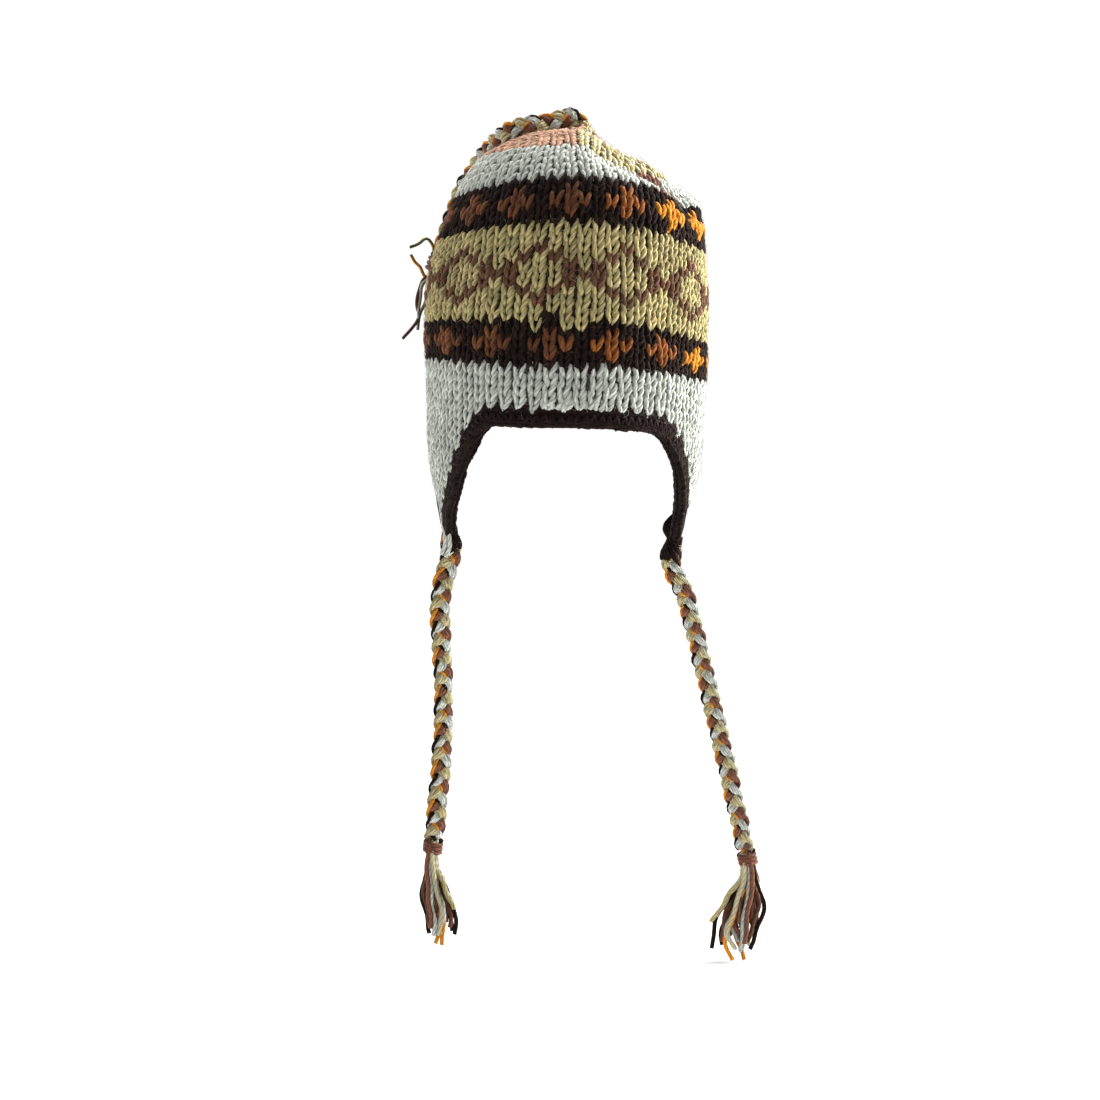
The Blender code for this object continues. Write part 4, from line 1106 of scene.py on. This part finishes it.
# %% [markdown]
# A tassel is what is left of the plait's yarns beyond a knot. A physics run could drop them, but each end in the
# photograph has its own lie. So each is placed one by one: a few numbers for where it goes, and a little curl. The
# knot is the same yarns wound round.
# %% Ends of the hanging tassels
TASSEL_ENDS = {
    # wool, then the way from the knot's end as (sideways, depth, down) in millimetres
    "tassel_right": (
        ("dark_brown", ((-4, 0, 3), (-13, 1, 22), (-22, 2, 41), (-23, 2, 60))),
        ("khaki", ((-4, -2, 4), (-14, -3, 20), (-20, -3, 32), (-24, -3, 39))),
        ("dark_brown", ((-3, 3, 3), (-11, 4, 28), (-17, 5, 46), (-17, 5, 58))),
        ("orange", ((-2, -3, 3), (-9, -4, 30), (-15, -4, 54), (-11.5, -4, 68))),
        ("off_white", ((-2, -2, 3), (-10, -5, 30), (-14.5, -5, 48), (-9.5, -5, 60))),
        ("orange", ((-1, 2, 3), (-6, 4, 30), (-8, 4, 52), (-3, 4, 69))),
        ("off_white", ((0, -4, 3), (-3, -6, 30), (-5, -6, 46), (-5.5, -5, 61))),
        ("red_brown", ((0, 4, 2), (-2, 7, 30), (-3, 7, 50), (-3, 6, 60))),
        ("red_brown", ((2, 0, 3), (2, -1, 22), (-1, -1, 36), (5, -2, 42))),
        ("red_brown", ((-2, 0, 3), (-6, 1, 20), (-9, 1, 32), (-8, 1, 45))),
        ("rust", ((2, 3, 3), (5, 4, 22), (5, 5, 36), (3, 5, 51))),
        ("dark_brown", ((3, -1, 3), (9, -2, 30), (3, -3, 50), (0, -3, 60))),
        ("cream", ((3, 2, 3), (6, 3, 16), (6, 3, 26), (3, 3, 33))),
        ("red_brown", ((-1, -3, 3), (-5, -4, 16), (-7, -4, 28), (-6, -4, 40))),
        ("lattice_brown", ((-3, 1, 3), (-10, 2, 20), (-14, 3, 34), (-15, 3, 46))),
        ("cream", ((1, 1, 3), (0, 2, 22), (-2, 2, 42), (0, 2, 58))),
        ("red_brown", ((1, -2, 3), (0, -3, 18), (2, -3, 34), (1, -3, 46))),
        ("off_white", ((-1, 0, 3), (-8, 0, 26), (-11, 0, 44), (-8, 0, 55))),
        ("rust", ((0, 3, 3), (-5, 3, 24), (-6, 4, 40), (-4, 4, 50))),
    ),
}
TASSEL_ENDS["tassel_right"] += tuple(  # and a shorter yarn beside each of them
    (
        ("red_brown", "off_white", "rust", "cream", "red_brown", "lattice_brown")[k % 6],
        tuple(
            (0.8 * a + 1.6 * (-1) ** k, b + 2.0 * (-1) ** (k // 2), (0.92 - 0.02 * (k % 5)) * c) for a, b, c in route
        ),
    )
    for k, (_, route) in enumerate(TASSEL_ENDS["tassel_right"])
)
TASSEL_ENDS["tassel_left"] = tuple(
    (wool_name, tuple((-0.62 * a + 0.3 * b, 0.9 * b + 0.35 * a, 0.94 * c) for a, b, c in route))
    for wool_name, route in TASSEL_ENDS["tassel_right"][::-1]
)
print("yarns in a tassel:", len(TASSEL_ENDS["tassel_right"]))

# %% One yarn of a tassel, and the yarn wound round its knot
MM = 0.001
WRAP_POINTS = 70
WRAP_RADIUS = 0.00135


def tassel_yarn(points, count, aside, waves, k, radius, out, wool_name):
    """A yarn through the points that curls a little to the side and thins out towards its end."""
    curl = np.linspace(0.0, 1.0, count)
    line = resample(points, count)[0] + aside * (np.sin(curl * waves + k) * curl)[:, None]
    return yarns(line[None], radius * (1.0 - 0.12 * curl), out, 7, wool_name)


def wound(start, heading, rise, turns, across, through):
    """A yarn wound round a knot; across and through are the two half widths of its ring, as vectors."""
    turn = np.linspace(0.0, 2.0 * math.pi * turns, WRAP_POINTS)[:, None]
    ring = across * np.cos(turn) + through * np.sin(turn)
    line = start + heading * np.linspace(*rise, WRAP_POINTS)[:, None] + ring
    return yarns(line[None], WRAP_RADIUS, unit(ring), 7, "red_brown")


print("a knot's yarn is", 2e3 * WRAP_RADIUS, "mm thick")

# %% The two hanging tassels
def hanging_tassel(name, end, before):
    """The loose ends and the knot below a tie. end and before are the last two points of its route."""
    end = np.array(end)
    heading = unit(end - np.array(before))
    side = unit(np.cross(heading, np.array([0.0, 1.0, 0.0])))
    side = side * (1.0 if side[0] > 0 else -1.0)
    bundles = []
    knot_end = end + heading * 0.0123
    for k, (wool_name, route) in enumerate(TASSEL_ENDS[name]):
        first = route[0]
        points = [end + heading * 0.002 + side * first[0] * 0.0006]
        points.append(end + heading * 0.009 + side * first[0] * 0.0008 + np.array([0, 1, 0]) * first[1] * 0.0008)
        for a, b, c in route:
            points.append(knot_end + np.array([a, b, -1.5 - 0.84 * c]) * MM)
        bundles.append(tassel_yarn(points, 34, 0.0008 * side, 17.0, k, 0.00165, (0.0, -1.0, 0.0), wool_name))
    around = unit(np.array([0.0, 1.0, 0.0]) - heading * heading[1])
    for shift in (0.0, 0.0022):
        start = end + heading * shift
        bundles.append(wound(start, heading, (0.0020, 0.0085), 2.4, 0.0052 * side, 0.0050 * around))
    return yarn_piece(name + "_ends", bundles, "tassel_wool", name)


right_tassel = hanging_tassel("tassel_right", RIGHT_TIE[-1], RIGHT_TIE[-2])
left_tassel = hanging_tassel("tassel_left", LEFT_TIE[-1], LEFT_TIE[-2])

# %% Ends of the top tassel
TOP_ENDS = (  # wool, then the way from the knot's end as (right, ahead, down) in millimetres
    ("khaki", ((-1, 2, 2), (-1, 4, -9), (-1, 5, -18), (-5, 6, -22.5), (-10, 7, -19.5), (-16, 6, -17))),
    ("orange", ((-2, 2, 3), (-6, 5, 2), (-9, 6, -4), (-13, 6, -8), (-15, 5, -12))),
    ("dark_brown", ((-1, 3, 3), (-3, 4, 6), (-4, 5, 9), (-4, 5, 11))),
    (
        "red_brown",
        ((-3, -1, 1), (-7, -1, 4), (-9, -2, 9), (-11, -3, 20), (-10, -3, 28), (-14, -3, 35), (-20, -3, 42)),
    ),
    ("off_white", ((-2, -2, 2), (-7, -3, 7), (-9, -3, 17), (-10, -4, 29))),
    ("off_white", ((-1, 1, 4), (-5, 2, 16), (-9, 2, 26), (-11, 2, 36))),
    ("red_brown", ((1, -3, 4), (0, -5, 16), (-2, -6, 28), (-2, -6, 38))),
    ("cream", ((1, 3, 4), (0, 5, 18), (-2, 7, 32), (-3, 8, 44))),
    ("dark_brown", ((0, 4, 4), (-2, 8, 16), (-3, 10, 30), (-5, 11, 40))),
    ("rust", ((0, 0, 4), (-2, 1, 16), (-4, 1, 34), (-5, 2, 50))),
)
print("yarns in the top tassel:", len(TOP_ENDS))

# %% The top tassel
def top_tassel_piece():
    """The loose ends and the knot at the end of the top braid, which lies on the left side of the crown."""
    end, before = TOP_BRAID[-1], TOP_BRAID[-2]
    heading = unit(end - before)
    outside = np.array([-0.9, 0.35, 0.0])
    outside = unit(outside - heading * (outside @ heading))
    ahead = np.cross(heading, outside)
    bundles = []
    for k, (wool_name, route) in enumerate(TOP_ENDS):
        points = [end + heading * 0.002 + ahead * route[0][1] * 0.0008]
        points.append(end + heading * 0.010 + ahead * route[0][1] * 0.0009)
        for a, b, c in route:
            points.append(end + heading * 0.013 + np.array([a, b, -c]) * MM)
        bundles.append(tassel_yarn(points, 30, 0.0006 * ahead, 15.0, k, 0.00120, outside, wool_name))
    bundles.append(wound(end, heading, (0.0015, 0.0115), 3.2, 0.0058 * outside, 0.0058 * ahead))
    return yarn_piece("top_tassel_ends", bundles, "tassel_wool", "top_tassel")


top_tassel = top_tassel_piece()

# %% [markdown]
# The photograph is very bright: white all round, strong soft light from behind on both sides and from above, and
# a weaker fill on the side that faces the camera. A picture of a studio could light it, but four area lights and
# a sky that is brighter towards the back do the same and can be changed one by one. The back lights make the
# bright rims at the hat's edges.
# %% Sky
WHITE = (1.0, 1.0, 1.0, 1.0)
SKY_BETWEEN = (-0.3, 0.7)  # directions: -1 is straight behind the camera and 1 straight ahead
SKY = (0.24, 1.05)
world = bpy.data.worlds.new("studio")
bpy.context.scene.world = world
world.use_nodes = True
sky = world.node_tree
sky_way = node(sky, "SeparateXYZ")
sky.links.new(node(sky, "TexCoord").outputs["Generated"], sky_way.inputs[0])
sky_level = map_range(sky, sky_way.outputs["Y"], SKY_BETWEEN, SKY)
sky.links.new(sky_level, sky.nodes["Background"].inputs["Strength"])
sky.nodes["Background"].inputs["Color"].default_value = WHITE
print("sky strength", SKY)

# %% Soft lights
LIT_POINT = (0.0, 0.0, 0.03)


def soft_light(name, place, size, power):
    """An area light that looks at the hat; place in metres, size as width and height, power in watts."""
    data = bpy.data.lights.new(name, "AREA")
    data.shape = "RECTANGLE"
    data.size = size[0]
    data.size_y = size[1]
    data.energy = power
    lamp = bpy.data.objects.new(name, data)
    lamp.location = place
    aim = Vector(LIT_POINT) - Vector(place)
    lamp.rotation_euler = aim.to_track_quat("-Z", "Y").to_euler()
    bpy.context.collection.objects.link(lamp)
    print(name, power, "W")


soft_light("right_back", (1.7, 0.50, 0.7), (0.8, 1.3), 108.0)
soft_light("left_back", (-1.5, 0.9, 0.5), (0.8, 1.2), 20.0)
soft_light("top", (0.30, 0.60, 1.6), (1.0, 1.0), 42.0)
soft_light("camera_side", (-0.9, -1.7, 0.9), (0.7, 0.7), 5.0)

# %% Floor
FLOOR = -0.3405
HALF = 6.0
GLOW_BETWEEN = (0.5, 2.6)  # metres from the middle of the floor
GLOW = (0.05, 0.80)
floor_mesh = bpy.data.meshes.new("floor")
floor_corners = [(x, y, FLOOR) for x, y in ((-HALF, -HALF), (HALF, -HALF), (HALF, HALF), (-HALF, HALF))]
floor_mesh.from_pydata(floor_corners, [], [(0, 1, 2, 3)])
floor = bpy.data.objects.new("floor", floor_mesh)
bpy.context.collection.objects.link(floor)
floor_mat = bpy.data.materials.new("floor_paper")
floor_mat.use_nodes = True
floor_skin = floor_mat.node_tree.nodes["Principled BSDF"]
for key, value in (("Base Color", (0.66, 0.66, 0.66, 1.0)), ("Roughness", 0.9), ("Emission Color", WHITE)):
    floor_skin.inputs[key].default_value = value
floor_tree = floor_mat.node_tree
floor_way = node(floor_tree, "VectorMath", operation="LENGTH")
floor_tree.links.new(node(floor_tree, "TexCoord").outputs["Object"], floor_way.inputs[0])
floor_glow = map_range(floor_tree, floor_way.outputs["Value"], GLOW_BETWEEN, GLOW)
floor_tree.links.new(floor_glow, floor_skin.inputs["Emission Strength"])
floor_mesh.materials.append(floor_mat)
bpy.context.scene.view_settings.view_transform = "Standard"
print("floor at", FLOOR, "m")
